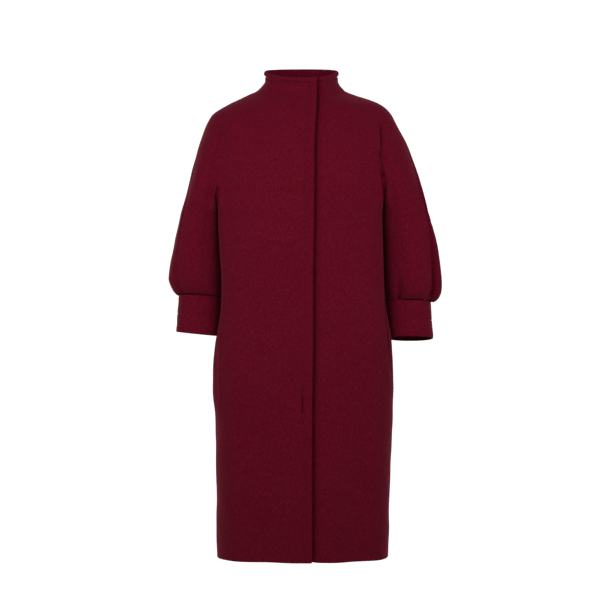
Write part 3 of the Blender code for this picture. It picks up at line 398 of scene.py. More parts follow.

# Painted shade: the wool's colour is darkened along the mouth of the pocket on the wearer's left, standing
# in for the shadow in its slit
PAINTED_MOUTH_SHADE = (0.0005, 0.0017)  # its half width, where it is full and at its edge
PAINTED_MOUTH_FADE = (0.012, 0.050)  # over how much of its height it fades out at the top and the bottom
PAINTED_MOUTH_BEHIND = (-0.044, -0.050)  # it lies in front of these depths
PAINTED_MOUTH_DARK = 0.10  # its share of the wool's colour

# The lights: where each one stands, and its share of the studio's power
Light = namedtuple("Light", "name x y z share")
LIGHTS = (
    Light("key", -0.68, -1.40, 0.06, 0.84),
    Light("fill", 0.74, -1.42, 0.06, 0.74),
    Light("side_right", -1.60, -0.45, -0.05, 0.33),
    Light("side_left", 1.60, -0.45, -0.05, 0.34),
    Light("back_right", -0.95, 1.50, 0.10, 1.05),
    Light("back_left", 0.95, 1.50, 0.10, 0.85),
)
LIGHT_AIM = (0.0, 0.0, -0.20)  # the chest
LIGHT_SIZE = 0.9
SENSOR = 36.0  # the camera's sensor, in millimetres
FLOOR_RADIUS = 2.6
BACKDROP_RADIUS = 14.0


def read(table, column, down):
    """One column of a table at a distance down, on a smooth curve that never overshoots its rows."""
    keys = [row.down for row in table]
    values = [getattr(row, column) for row in table]
    at = min(max(down, keys[0]), keys[-1])
    i = max(k for k in range(len(keys) - 1) if keys[k] <= at)
    gaps = [after - before for before, after in zip(keys, keys[1:])]
    slopes = [(values[k + 1] - values[k]) / gap for k, gap in enumerate(gaps)]

    def tangent(k):
        if k == 0:
            return slopes[0]
        if k == len(keys) - 1:
            return slopes[-1]
        before, after = slopes[k - 1], slopes[k]
        if before * after <= 0:
            return 0.0
        return 2 * before * after / (before + after)

    t = (at - keys[i]) / gaps[i]
    rise = values[i] * (1 + 2 * t) * (1 - t) ** 2 + values[i + 1] * t * t * (3 - 2 * t)
    return rise + gaps[i] * (tangent(i) * t * (1 - t) ** 2 - tangent(i + 1) * t * t * (1 - t))


def eased(share):
    """0 to 1, smoothly, for a number or an array."""
    share = np.clip(share, 0.0, 1.0)
    return share * share * (3 - 2 * share)


def power(value, exponent):
    """A power that keeps its value's sign."""
    return np.sign(value) * np.abs(value) ** exponent


def eased_between(value, start, end):
    """0 at the start to 1 at the end, smoothly."""
    return eased((value - start) / (end - start))


def bell(share):
    """1 at 0, falling softly on both sides."""
    return np.exp(-(share**2))


def lengths_along(points, axis=0):
    """Distances from the first point of a line, or of each line of a grid, to all its points."""
    between = np.linalg.norm(np.diff(points, axis=axis), axis=-1)
    start = [(1, 0) if k == axis else (0, 0) for k in range(between.ndim)]
    return np.pad(np.cumsum(between, axis=axis), start)


def values_at(places, along, values):
    """Three values each, such as points, at places along a line."""
    return np.stack([np.interp(places, along, values[:, k]) for k in range(3)], axis=-1)


def spaced(points, shares):
    """Points at the given shares of a line's length."""
    along = lengths_along(points)
    return values_at(np.asarray(shares) * along[-1], along, points)


def raised(points, normals, heights):
    """Points moved outwards by their heights."""
    return points + normals * heights[..., None]


def steps(start, end, size):
    """Even steps of about a size, with both ends."""
    return np.linspace(start, end, max(1, round((end - start) / size)) + 1)


def slope_of_ring(down, y):
    """How far the merged ring rises at a depth y, above its height at the middle."""
    dip, lift = read(SHOULDER, "dip", down), read(SHOULDER, "lift", down)
    soft = np.sqrt(y * y + RING_SOFT**2) - RING_SOFT
    return 0.5 * (lift + dip) * y + 0.5 * (lift - dip) * soft


def shoulder_arc(side, down, start, end):
    """The merged ring of body and sleeve between two turns, in degrees from centre front."""
    turn = np.radians(np.linspace(start, end, FINE_DENSE))
    exponent = 2 / read(SHOULDER, "square", down)
    across = read(SHOULDER, side, down) * np.abs(np.sin(turn)) ** exponent
    depth = np.where(np.cos(turn) > 0, read(SHOULDER, "front", down), read(SHOULDER, "back", down))
    y = -depth * power(np.cos(turn), exponent)
    return np.stack([across, y, slope_of_ring(down, y) - down], axis=1)


def body_depth(down, in_front):
    """How deep the body is from its widest place, to the front or to the back."""
    widest = read(BODY, "widest", down)
    return np.where(in_front, read(BODY, "front", down) + widest, read(BODY, "back", down) - widest)


def arm_press(down, y):
    """How far the arm presses the body's side in, at a depth y."""
    return read(BODY, "press", down) * bell((y - PRESS_PLACE) / PRESS_REACH)


def side_of_body(side, down, y):
    """Half width of the body at a depth y."""
    widest = read(BODY, "widest", down)
    square = read(BODY, "square", down)
    share = np.clip(np.abs(y - widest) / body_depth(down, y < widest), 0.0, 1.0)
    return read(BODY, side, down) * (1 - share**square) ** (1 / square) - arm_press(down, y)


def body_arc(side, down, start, end):
    """The body's own ring between two turns, in degrees from centre front."""
    turn = np.radians(np.linspace(start, end, FINE_DENSE))
    exponent = 2 / read(BODY, "square", down)
    depth = body_depth(down, np.cos(turn) > 0)
    y = read(BODY, "widest", down) - depth * power(np.cos(turn), exponent)
    across = read(BODY, side, down) * np.abs(np.sin(turn)) ** exponent
    across = across - arm_press(down, y) * eased(across / PRESS_FADE)
    return np.stack([across, y, slope_of_ring(down, y) - down], axis=1)


def pleat_depth(side, down, turn):
    """How deep the gathers press the sleeve in, at turns in degrees round it."""
    depth = np.zeros_like(turn)
    for pleat in PLEATS[side]:
        flat = 1 - eased((down - (SLEEVE_END - pleat.end)) / pleat.end)
        rise = flat * eased((down - (SLEEVE_END - pleat.reach)) / pleat.reach)
        away = (turn - pleat.turn + 180) % 360 - 180
        depth = depth + pleat.deep * rise * bell(away / pleat.wide)
    return depth


def clear_of_body(side, down, x, y, gap):
    """Half widths moved out where they would come nearer to the body's side than the gap."""
    limit = side_of_body(side, down, y) + gap
    return 0.5 * (x + limit + np.sqrt((x - limit) ** 2 + (0.5 * gap) ** 2))


def cuff_arc(side, share, degrees):
    """Outer points of a cuff at a share of its depth, at turns in degrees."""
    top, bottom = CUFFS[side]
    mix = Cuff(*(a + (b - a) * share for a, b in zip(top, bottom)))
    turn = np.radians(degrees)
    exponent = 2 / CUFF_SQUARE
    half = (mix.out - mix.in_) / 2
    x = (mix.in_ + mix.out) / 2 + half * power(np.cos(turn), exponent)
    y = mix.middle - np.where(np.sin(turn) > 0, mix.front, mix.back) * power(np.sin(turn), exponent)
    x = clear_of_body(side, mix.height, x, y, CUFF_ARM_GAP)
    z = -mix.height + mix.slope * (x - mix.out) - mix.lean * (y - mix.middle)
    return np.stack([x, y, z], axis=1)


def sleeve_arc(side, down, start, end):
    """The sleeve's ring between two turns, in degrees from its outer side over its front."""
    degrees = np.linspace(start, end, FINE_DENSE)
    if down >= SLEEVE_END:
        return cuff_arc(side, 0.0, degrees) + (0.0, 0.0, CUFF_GAP)
    turn = np.radians(degrees)
    exponent = 2 / read(SLEEVE, "square", down)
    inner, outer = read(SLEEVE, "in_" + side, down), read(SLEEVE, "out_" + side, down)
    front, back = read(SLEEVE, "front", down), read(SLEEVE, "back", down)
    middle, height = read(SLEEVE, "middle", down), read(SLEEVE, "height_" + side, down)
    shrink = 1 - pleat_depth(side, down, degrees) / (0.5 * (outer - inner))
    x = (inner + outer) / 2 + (outer - inner) / 2 * shrink * power(np.cos(turn), exponent)
    depth = np.where(np.sin(turn) > 0, front, back)
    y = middle - depth * shrink * power(np.sin(turn), exponent)
    gap = ARM_GAP + (CUFF_ARM_GAP - ARM_GAP) * eased((down - CUFF_NEAR) / CUFF_NEAR_REACH)
    x = clear_of_body(side, height, x, y, gap)
    lean = CUFFS[side][0].slope * (x - outer) - CUFFS[side][0].lean * (y - middle)
    lean = lean * eased_between(down, LEAN_START, SLEEVE_END)
    return np.stack([x, y, lean - height], axis=1)


def merged(side, face, down):
    """The merged ring from centre to overarm seam, and the fold's place as a share of it."""
    start = 0.0 if face == "front" else 180.0
    ring = shoulder_arc(side, down, start, 90 - read(SHOULDER, "seam", down))
    fold = read(SHOULDER, "fold_" + side, down) * read(SHOULDER, side, down)
    along = lengths_along(ring)
    widest = int(ring[:, 0].argmax()) + 1
    return ring, float(np.interp(fold, ring[:widest, 0], along[:widest]) / along[-1])


def parted(side, whole, own, down):
    """A line from the fold outwards, between its place on the merged ring and on its own ring.

    The stretch of its own ring that faces the other one grows down out of the fold. The line
    comes with the share of its length that is kept for that hidden stretch.
    """
    shares = np.linspace(0, 1, FINE_DENSE)
    own = spaced(own, shares)
    last = int(np.linalg.norm(own - whole[0], axis=1).argmin())
    inside = shares[last]
    whole = spaced(whole, np.clip((shares - inside) / (1 - inside), 0, 1))
    share = min(max((down - CREASE_TOP) / (UNDERARM - CREASE_TOP), 0.0), 1.0)
    deep = share ** FOLD_POWER[side]
    near = 1 - eased(1 + (shares / inside - 1) / FOLD_REACH)
    mix = eased(share) + (deep - eased(share)) * near
    line = whole + (own - whole) * mix[:, None]
    along = lengths_along(line)
    hidden = max(along[last], HIDDEN_LEAST) / along[-1]
    return line, SOLID_HIDDEN_SHARE + (hidden - SOLID_HIDDEN_SHARE) * eased(HIDDEN_SHIFT * share)


def body_line(side, face, down):
    """A body row from the side seam to centre front or back, and where its hidden stretch ends."""
    start = 0.0 if face == "front" else 180.0
    own = body_arc(side, down, read(BODY, "seam", down), start)
    if down > UNDERARM:
        return own, body_line(side, face, UNDERARM)[1]
    ring, fold = merged(side, face, down)
    return parted(side, spaced(ring, np.linspace(fold - FOLD_HALF, 0, FINE_DENSE)), own, down)


def sleeve_line(side, face, down):
    """A sleeve row from the underarm seam to the overarm seam, and where its hidden stretch ends."""
    seam = read(SLEEVE, "seam", down)
    own = sleeve_arc(side, down, UNDERARM_TURN, seam if face == "front" else 360 + seam)
    if down > UNDERARM:
        return own, sleeve_line(side, face, UNDERARM)[1]
    ring, fold = merged(side, face, down)
    return parted(side, spaced(ring, np.linspace(fold + FOLD_HALF, 1, FINE_DENSE)), own, down)


def column_shares(length, split, visible, far):
    """Shares of a line at its columns, fine ones near both ends and even ones between."""
    near = np.array(RIM_STEPS) / length
    far = 1 - np.array(far)[::-1] / length
    hidden = np.linspace(near[-1], split, HIDDEN_COLUMNS + 1)
    shown = np.linspace(split, far[0], visible + 1)
    return np.concatenate([near[:-1], hidden[:-1], shown, far[1:]])


def lap_edge(down):
    """Where the right front ends past the centre."""
    return np.interp(down, [row.down for row in LAP_EDGE], [row.past for row in LAP_EDGE])


def body_row(side, face, down):
    """The grid points of one body row, from the centre or the front edge to the side seam."""
    line, split = body_line(side, face, down)
    far = RIM_STEPS if face == "back" else (0.0,) if side == "right" else GROOVE_STEPS
    shares = column_shares(lengths_along(line)[-1], split, BODY_COLUMNS, far)
    columns = spaced(line, shares)[::-1]
    if face == "back":
        return columns
    past = lap_edge(down) if side == "right" else UNDERLAP
    line = line[::-1]
    inside = line[(line[:, 0] > 0) & (line[:, 0] < past)][::-1]
    lap = np.concatenate([[values_at(past, line[:, 0], line)], inside, line[:1]]) * (-1, 1, 1)
    near = np.array(LAP_STEPS) / lengths_along(lap)[-1]
    fill = np.linspace(near[-1], 1, LAP_FILL + 2)[1:-1]
    return np.concatenate([spaced(lap, np.concatenate([near, fill])), columns])


def sleeve_row(side, face, down):
    """The grid points of one sleeve row, from the underarm seam to the overarm seam."""
    line, split = sleeve_line(side, face, down)
    shares = column_shares(lengths_along(line)[-1], split, SLEEVE_COLUMNS, RIM_STEPS)
    return spaced(line, shares)


def row_places(spacing):
    """How far down each row lies: those of the whole width, of the body and of the sleeve."""
    top = np.concatenate([
        COLLAR_TOP + np.array(RIM_STEPS[:-1]),
        steps(COLLAR_TOP + RIM_STEPS[-1], ROLL_ROWS_END, ROLL_ROWS),
        steps(ROLL_ROWS_END, SHOULDER_ROWS_END, SHOULDER_ROWS * spacing)[1:],
        steps(SHOULDER_ROWS_END, UNDERARM, spacing)[1:],
    ])
    body = np.concatenate([
        steps(UNDERARM, HEM - RIM_STEPS[-1], BODY_ROWS * spacing)[1:],
        HEM - np.array(RIM_STEPS[:-1])[::-1],
    ])
    sleeve = np.concatenate([
        steps(UNDERARM, SLEEVE_END - RIM_STEPS[-1], SLEEVE_ROWS * spacing)[1:],
        SLEEVE_END - np.array(RIM_STEPS[:-1])[::-1],
    ])
    return top, body, sleeve


class Sheet:
    """One panel's cloth before it has a thickness: a grid with the faces that are cloth."""

    def __init__(self, side, face, spacing):
        top, body, sleeve = row_places(spacing)
        self.side, self.face = side, face
        self.rows = np.concatenate([top, body])
        body_grid = np.array([body_row(side, face, down) for down in self.rows])
        sleeve_rows = [sleeve_row(side, face, down) for down in np.concatenate([top, sleeve])]
        sleeve_rows += [sleeve_rows[-1]] * (len(self.rows) - len(sleeve_rows))
        sleeve_grid = np.array(sleeve_rows)
        mix = np.linspace(0, 1, STRIP_COLUMNS + 2)[None, 1:-1, None]
        strip = body_grid[:, -1:] * (1 - mix) + sleeve_grid[:, :1] * mix
        self.body_end = body_grid.shape[1] - 1
        self.sleeve_start = self.body_end + STRIP_COLUMNS + 1
        self.underarm = len(top) - 1
        self.sleeve_end = self.underarm + len(sleeve)
        self.points = np.concatenate([body_grid, strip, sleeve_grid], axis=1)
        self.points[:, :, 0] *= SIGN[side]
        self.soften_fold()
        self.keep = self.cloth_faces()
        below = np.full(len(body), SLEEVE_END)
        below[: len(sleeve)] = sleeve
        self.downs = np.concatenate([top, below])  # how far down the sleeve each row lies
        self.free = self.free_to_crease()
        self.normals = None

    def soften_fold(self):
        """Rounds the fold between body and sleeve, above the underarm and off every seam."""
        down = self.rows[: self.underarm + 1]
        start, end = SOFT_END[self.side]
        amount = eased_between(down, SOFT_START, SOFT_FULL)
        amount *= 1 - eased_between(down, start, end)
        amount = 0.5 * amount[:, None, None]
        low, high = self.body_end - SOFT_REACH, self.sleeve_start + SOFT_REACH
        for _ in range(SOFT_TURNS[self.side]):
            part = self.points[: self.underarm + 1, low - 1 : high + 2]
            middle = 0.5 * (part[:, :-2] + part[:, 2:])
            self.points[: self.underarm + 1, low : high + 1] += amount * (middle - part[:, 1:-1])

    def cloth_faces(self):
        """For each face of the grid, whether it is cloth."""
        keep = np.ones((self.points.shape[0] - 1, self.points.shape[1] - 1), bool)
        keep[self.underarm :, self.body_end : self.sleeve_start] = False
        keep[self.sleeve_end :, self.sleeve_start :] = False
        return keep

    def free_to_crease(self):
        """0 where body and sleeve face each other and at the cuff, and 1 on open cloth."""
        columns = np.arange(self.points.shape[1])
        away = np.where(columns <= self.body_end, self.body_end - columns, columns - self.sleeve_start)
        hidden = len(RIM_STEPS) - 1 + HIDDEN_COLUMNS
        start, end = FREE_END[self.side]
        deep = eased_between(self.rows, start, end)[:, None]
        lower = 1 - eased((self.rows - FREE_AGAIN) / FREE_AGAIN_REACH)[:, None]
        closed = 1 - eased((away[None] - hidden + FREE_COLUMNS) / (2 * FREE_COLUMNS))
        on_body = (columns <= self.body_end)[None]
        cuff = eased((SLEEVE_END - self.downs - FREE_CUFF) / FREE_CUFF_REACH)[:, None]
        return (1 - deep * np.where(on_body, lower, 1.0) * closed) * np.where(on_body, 1.0, cuff)

    def face_normals(self):
        """The unit direction of each grid face, outwards, and none where there is no cloth."""
        p = self.points
        across = p[1:, 1:] - p[:-1, :-1]
        other = p[:-1, 1:] - p[1:, :-1]
        normals = np.cross(across, other)
        size = np.linalg.norm(normals, axis=2, keepdims=True)
        normals = normals / np.maximum(size, 1e-12) * self.keep[:, :, None]
        outward = 1.0 if self.face == "back" else -1.0
        if normals[:, :, 1].sum() * outward < 0:
            normals = -normals
        return normals

    def vertex_normals(self):
        """The sum of the directions of the faces round each grid point."""
        faces = np.pad(self.face_normals(), ((1, 1), (1, 1), (0, 0)))
        return faces[:-1, :-1] + faces[1:, :-1] + faces[:-1, 1:] + faces[1:, 1:]

    def crease_directions(self):
        """The outward directions, evened out across the fold between body and sleeve."""
        soft = self.normals.copy()
        low, high = self.body_end - 2 * SOFT_REACH, self.sleeve_start + 2 * SOFT_REACH
        for _ in range(SOFT_NORMALS):
            part = soft[: self.underarm, low - 1 : high + 2]
            soft[: self.underarm, low : high + 1] = 0.25 * (part[:, :-2] + 2 * part[:, 1:-1] + part[:, 2:])
        return soft / np.maximum(np.linalg.norm(soft, axis=2, keepdims=True), 1e-12)

    def rim(self):
        """Which grid points of the cloth lie on its edge."""
        near = np.pad(self.keep, 1).astype(int)
        count = near[:-1, :-1] + near[1:, :-1] + near[:-1, 1:] + near[1:, 1:]
        return (count > 0) & (count < 4)


def seam_key(point):
    """A point rounded so that the two sides of a seam share it."""
    return tuple(round(value * 1e5) for value in point)


def share_normals(sheets):
    """Gives each sheet its outward directions, the same on both sides of a seam."""
    found = {}
    for sheet in sheets:
        sheet.normals = sheet.vertex_normals()
        for row, column in np.argwhere(sheet.rim()):
            at = seam_key(sheet.points[row, column])
            found[at] = found.get(at, 0) + sheet.normals[row, column]
    for sheet in sheets:
        for row, column in np.argwhere(sheet.rim()):
            sheet.normals[row, column] = found[seam_key(sheet.points[row, column])]
        size = np.linalg.norm(sheet.normals, axis=2, keepdims=True)
        sheet.normals = sheet.normals / np.maximum(size, 1e-12)


def crease_path(crease):
    """Points along a crease, as seen from the front."""
    t = np.linspace(0, 1, CREASE_POINTS)[:, None]
    start, end = np.array([[crease.x, crease.z]]), np.array([[crease.to_x, crease.to_z]])
    bow = np.array([[crease.bow, 0.0]])
    return start + (end - start) * t + 4 * t * (1 - t) * bow


def crease_depth(crease, points, normals, turned=CREASE_TURNED):
    """How far a crease presses the cloth in at each point, less where the cloth turns aside.

    It is in full where the cloth faces its side by as much as turned, the cosine of an angle.
    """
    path = crease_path(crease)
    at = points[..., [0, 2]]
    near = np.full(at.shape[:-1], np.inf)
    along = np.zeros(at.shape[:-1])
    for number, (a, b) in enumerate(zip(path[:-1], path[1:])):
        line = b - a
        t = np.clip(((at - a) @ line) / (line @ line), 0, 1)
        away = np.linalg.norm(at - a - t[..., None] * line, axis=-1)
        along = np.where(away < near, (number + t) / (len(path) - 1), along)
        near = np.minimum(near, away)
    facing = -normals[..., 1] if crease.face == "front" else normals[..., 1]
    strength = eased(facing / turned) * eased(along / max(crease.fade, SHORTEST_FADE))
    strength = strength * eased((1 - along) / max(crease.to_fade, SHORTEST_FADE))
    share = near / crease.wide
    trough = bell(share) - crease.lip * bell(share - CREASE_LIP_AT)
    return crease.deep * strength * trough


def seam_fold(sheet):
    """How far the sleeve is creased in along its overarm seam, narrow in front and wide behind."""
    across = lengths_along(sheet.points, 1)
    away = across[:, -1:] - across
    down = sheet.downs[:, None]
    strength = eased_between(down, SEAM_FOLD_TOP, SEAM_FOLD_FULL)
    strength = strength * eased((SLEEVE_END - down) / SEAM_FOLD_END)
    wide = SEAM_FOLD_FRONT
    if sheet.face == "back":
        opened = eased_between(down, *SEAM_FOLD_OPENS)
        wide = SEAM_FOLD_BACK[0] + (SEAM_FOLD_BACK[1] - SEAM_FOLD_BACK[0]) * opened
    on_sleeve = np.arange(sheet.points.shape[1])[None] >= sheet.sleeve_start
    share = away / wide
    trough = bell(share) - SEAM_FOLD_LIP * bell(share - SEAM_FOLD_LIP_AT)
    return SEAM_FOLD[sheet.side] * strength * trough * on_sleeve


def unevenness(points):
    """Slow waves of the whole cloth."""
    rise = np.zeros(points.shape[:-1])
    for wave in WAVES:
        turns = points @ np.array([wave.across, wave.deep, wave.down])
        rise = rise + wave.high * np.sin(2 * math.pi * turns + wave.turn)
    return rise


@lru_cache(maxsize=None)
def coat_sheets(spacing, crease_scale):
    """The four panels as creased sheets, by side and face."""
    made = {(side, face): Sheet(side, face, spacing) for side in SIGN for face in ("front", "back")}
    share_normals(made.values())
    for sheet in made.values():
        soft = sheet.crease_directions()
        depth = -unevenness(sheet.points)
        for crease in CREASES:
            depth = depth + crease_depth(crease, sheet.points, soft)
        depth = crease_scale * (depth * sheet.free + seam_fold(sheet))
        sheet.points = sheet.points - soft * depth[:, :, None]
    share_normals(made.values())
    return made


def lap_rise(side, x, down):
    """How far a front stands out or in beside the closure, at a place across the front."""
    edge = lap_edge(down)
    if side == "right":
        return LAP_RISE * (1 - eased((edge - x - LAP_WIDTH) / LAP_EASE))
    groove = GROOVE_DEEP * bell((x - edge - GROOVE_PAST) / GROOVE_WIDE)
    return -LAP_RISE * (1 - eased((x - edge - UNDER_PAST) / UNDER_EASE)) - groove


def rim_round(distance):
    """How far the face of the cloth turns down to an open edge."""
    short = RIM_ROUND - np.minimum(distance, RIM_ROUND)
    return RIM_ROUND - np.sqrt(np.maximum(RIM_ROUND**2 - short**2, 0.0))


def wall_heights(sheet):
    """Heights of a panel's outer and inner face over its plain sheet."""
    points = sheet.points
    below_top, across = lengths_along(points, 0), lengths_along(points, 1)
    above_end = below_top[-1][None] - below_top
    on_body = np.arange(points.shape[1])[None] <= sheet.body_end
    below = np.arange(points.shape[0])[:, None] > sheet.underarm
    side_seam = np.where(on_body, across[:, sheet.body_end, None] - across, FAR)
    under_seam = np.abs(np.where(on_body, FAR, across - across[:, sheet.sleeve_start, None]))
    seam = np.where(on_body, FAR, across[:, -1:] - across)
    seam = np.where(below, np.minimum(seam, np.minimum(side_seam, under_seam)), seam)
    open_edge = np.minimum(below_top, np.where(on_body, above_end, FAR))
    roll_share = below_top / COLLAR_STITCH
    lift = np.where(on_body, 0.0, -CUFF_DITCH * bell(above_end / CUFF_DITCH_WIDE))
    if sheet.face == "front":
        roll_share = np.minimum(roll_share, across / LAP_STITCH)
        open_edge = np.minimum(open_edge, across)
        down = -points[:, :, 2]
        lift = np.where(on_body, lap_rise(sheet.side, points[:, :, 0], down), lift)
        inside = np.minimum(down - POCKET_TOP, POCKET_END - down) / POCKET_EASE
        stand = POCKET_STAND * eased(inside + 0.5) * (1 - np.clip(side_seam / POCKET_REACH, 0, 1))
        lift = lift + np.where(below & on_body, stand, 0.0)
    else:
        seam = np.minimum(seam, np.where(on_body, across, FAR))
    high = 1 - LAP_ROLL_LESS * eased((below_top - 2 * COLLAR_STITCH) / COLLAR_STITCH)
    roll = high * np.interp(roll_share, *zip(*ROLL_PROFILE))
    ditch = SEAM_DITCH * bell(seam / SEAM_WIDE)
    rim = rim_round(open_edge)
    lines = [crease_depth(line, points, sheet.normals, POCKET_TURNED) for line in POCKET_LINES]
    return lift + roll - ditch - rim - sum(lines) * on_body, lift - CLOTH + rim


def grid_mesh(rows, columns):
    """A grid of faces as a bmesh, and the row and column of each of its vertices."""
    bm = bmesh.new()
    bmesh.ops.create_grid(bm, x_segments=columns, y_segments=rows, size=0.5)
    place = {}
    for vertex in bm.verts:
        column = round((vertex.co.x + 0.5) * columns)
        row = round((0.5 - vertex.co.y) * rows)
        place[vertex] = (row, column)
    return bm, place


def face_outwards(bm):
    """Turns every face of a closed mesh outwards."""
    bmesh.ops.recalc_face_normals(bm, faces=bm.faces[:])
    if bm.calc_volume(signed=True) < 0:
        bmesh.ops.reverse_faces(bm, faces=bm.faces[:])


def wall_mesh(outer, inner, keep):
    """A closed wall of cloth between two grids of points, as a bmesh."""
    bm, place = grid_mesh(*keep.shape)
    gone = []
    for face in bm.faces:
        row, column = (min(place[vertex][k] for vertex in face.verts) for k in range(2))
        if not keep[row, column]:
            gone.append(face)
    bmesh.ops.delete(bm, geom=gone, context="FACES")
    place = {vertex: at for vertex, at in place.items() if vertex.is_valid}
    rim = [edge for edge in bm.edges if edge.is_boundary]
    made = bmesh.ops.duplicate(bm, geom=bm.verts[:] + bm.edges[:] + bm.faces[:])
    inner_rim = [made["edge_map"][edge] for edge in rim]
    for vertex, at in place.items():
        vertex.co = Vector(outer[at])
        made["vert_map"][vertex].co = Vector(inner[at])
    bmesh.ops.bridge_loops(bm, edges=rim + inner_rim)
    face_outwards(bm)
    return bm


def wall_mesh_round(outer, inner):
    """A closed wall between two grids whose last column is their first, as one grid round it."""
    grid = np.concatenate([outer, inner[::-1], outer[:1]])
    bm, place = grid_mesh(grid.shape[0] - 1, grid.shape[1] - 1)
    for vertex, at in place.items():
        vertex.co = Vector(grid[at])
    bmesh.ops.remove_doubles(bm, verts=bm.verts[:], dist=1e-6)
    face_outwards(bm)
    return bm


def new_piece(name, bm, material, replaced):
    """A finished object on the coat's one body."""
    mesh = bpy.data.meshes.new(name)
    bm.to_mesh(mesh)
    bm.free()
    mesh.materials.append(material)
    mesh.shade_smooth()
    mesh.set_sharp_from_angle(angle=math.radians(SHARP_ANGLE))
    piece = bpy.data.objects.new(name, mesh)
    bpy.context.scene.collection.objects.link(piece)
    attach(piece, "root")
    if replaced:
        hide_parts(replaced)
    return piece


def make_panel(side, face, settings):
    """One front or back, with its half sleeve and half collar."""
    sheet = coat_sheets(settings.spacing, settings.creasing)[side, face]
    outer, inner = (raised(sheet.points, sheet.normals, height) for height in wall_heights(sheet))
    name = f"{face}_{side}"
    bm = wall_mesh(outer, inner, sheet.keep)
    piece = new_piece(name + "_cloth", bm, wool_cloth(settings), name)


def make_pocket_bag(side, settings):
    """A flat bag inside a front, beside the side seam."""
    sheet = coat_sheets(settings.spacing, settings.creasing)[side, "front"]
    rows = np.flatnonzero((sheet.rows > POCKET_BAG_TOP) & (sheet.rows < POCKET_BAG_END))
    points, normals = [], []
    for place, row in enumerate(rows):
        share = place / (len(rows) - 1)
        line = sheet.points[row, : sheet.body_end + 1][::-1]
        pull = POCKET_BAG_ROUND_TOP * (1 - share) ** 2 + POCKET_BAG_ROUND_END * share**6
        at = np.linspace(POCKET_BAG_MARGIN, POCKET_BAG_WIDE - pull, POCKET_BAG_COLUMNS)
        along = lengths_along(line)
        points.append(values_at(at, along, line))
        normals.append(values_at(at, along, sheet.normals[row, : sheet.body_end + 1][::-1]))
    points, normals = np.array(points), np.array(normals)
    rim = np.zeros(points.shape[:2])
    rim[[0, -1]] = rim[:, [0, -1]] = POCKET_BAG_THICK / 4
    outer = raised(points, normals, -CLOTH - POCKET_BAG_GAP - rim)
    inner = raised(points, normals, -CLOTH - POCKET_BAG_GAP - POCKET_BAG_THICK + rim)
    bm = wall_mesh(outer, inner, np.ones((len(points) - 1, POCKET_BAG_COLUMNS - 1), bool))
    name = f"pocket_bag_{side}"
    piece = new_piece(name + "_cloth", bm, pocketing(settings), name)


def cuff_shares(depth):
    """Shares of a cuff's depth at its rows, fine ones at both edges and at the stitched line."""
    edge = np.array(RIM_STEPS) / depth
    line = 0.5 + np.array(CUFF_STITCH_ROWS) / depth
    upper = np.linspace(edge[-1], line[0], CUFF_FILL)[1:-1]
    lower = np.linspace(line[-1], 1 - edge[-1], CUFF_FILL)[1:-1]
    return np.concatenate([edge, upper, line, lower, 1 - edge[::-1]])


@lru_cache(maxsize=None)
def cuff_grid(side):
    """A cuff's plain points, its outward directions, its rows' shares of its depth, and that."""
    degrees = np.linspace(0, 360, CUFF_TURNS + 1)
    depth = CUFFS[side][1].height - CUFFS[side][0].height
    shares = cuff_shares(depth)
    points = np.array([cuff_arc(side, share, degrees) for share in shares])
    points[:, -1] = points[:, 0]
    points[:, :, 0] *= SIGN[side]
    ring = points[:, :-1]
    along = np.roll(ring, -1, axis=1) - np.roll(ring, 1, axis=1)
    across = np.gradient(points, axis=0)[:, :-1]
    normals = np.cross(along, across)
    normals /= np.linalg.norm(normals, axis=2, keepdims=True)
    middle = ring.mean(axis=(0, 1))
    if ((ring - middle) * normals).sum() < 0:
        normals = -normals
    return points, np.concatenate([normals, normals[:, :1]], axis=1), shares, depth


def cuff_ripple(points):
    """The cuff's own unevenness, finer and lower than that of the rest."""
    return CUFF_RIPPLE * unevenness(points * CUFF_RIPPLE_FINER)


def make_cuff(side, settings):
    """A deep folded band, closed round the forearm."""
    points, normals, shares, depth = cuff_grid(side)
    from_edge = np.minimum(shares, 1 - shares)[:, None] * depth
    from_stitch = np.abs(shares - 0.5)[:, None] * depth
    rim = rim_round(from_edge)
    swell = CUFF_SWELL * bell((from_edge - CUFF_SWELL_AT) / CUFF_SWELL_WIDE)
    press = CUFF_ROLL * bell(from_stitch / CUFF_STITCH_WIDE)
    fade = eased(from_edge / CUFF_EASE)
    outer = cuff_ripple(points) * fade + swell * fade - press - rim
    inner = np.zeros_like(outer) - CUFF_THICK + rim
    bm = wall_mesh_round(raised(points, normals, outer), raised(points, normals, inner))
    piece = new_piece(f"cuff_{side}_cloth", bm, wool_cloth(settings), f"cuff_{side}")


@lru_cache(maxsize=None)
def one_stitch():
    """The points and faces of one stitch of unit size, lying along Z."""
    bm = bmesh.new()
    bmesh.ops.create_uvsphere(bm, u_segments=STITCH_TURNS, v_segments=STITCH_RINGS, radius=1.0)
    points = [vertex.co.copy() for vertex in bm.verts]
    faces = [[vertex.index for vertex in face.verts] for face in bm.faces]
    bm.free()
    return points, faces


def stitch_line(bm, points, normals):
    """Adds a row of topstitches lying on a line of the cloth's face."""
    along = lengths_along(points)
    for place in np.arange(STITCH_PITCH, along[-1] - STITCH_PITCH / 2, STITCH_PITCH):
        at = Vector(values_at(place, along, points))
        ahead = Vector(values_at(place + STITCH_LONG / 2, along, points))
        out = Vector(values_at(place, along, normals)).normalized()
        run = (ahead - at).normalized()
        side = out.cross(run).normalized()
        turn = Matrix((side, run.cross(side), run)).transposed().to_4x4()
        size = Matrix.Diagonal((STITCH_THICK / 2, STITCH_THICK / 2, STITCH_LONG / 2, 1.0))
        move = Matrix.Translation(at - out * STITCH_SINK) @ turn @ size
        made = [bm.verts.new(move @ point) for point in one_stitch()[0]]
        for face in one_stitch()[1]:
            bm.faces.new([made[k] for k in face])


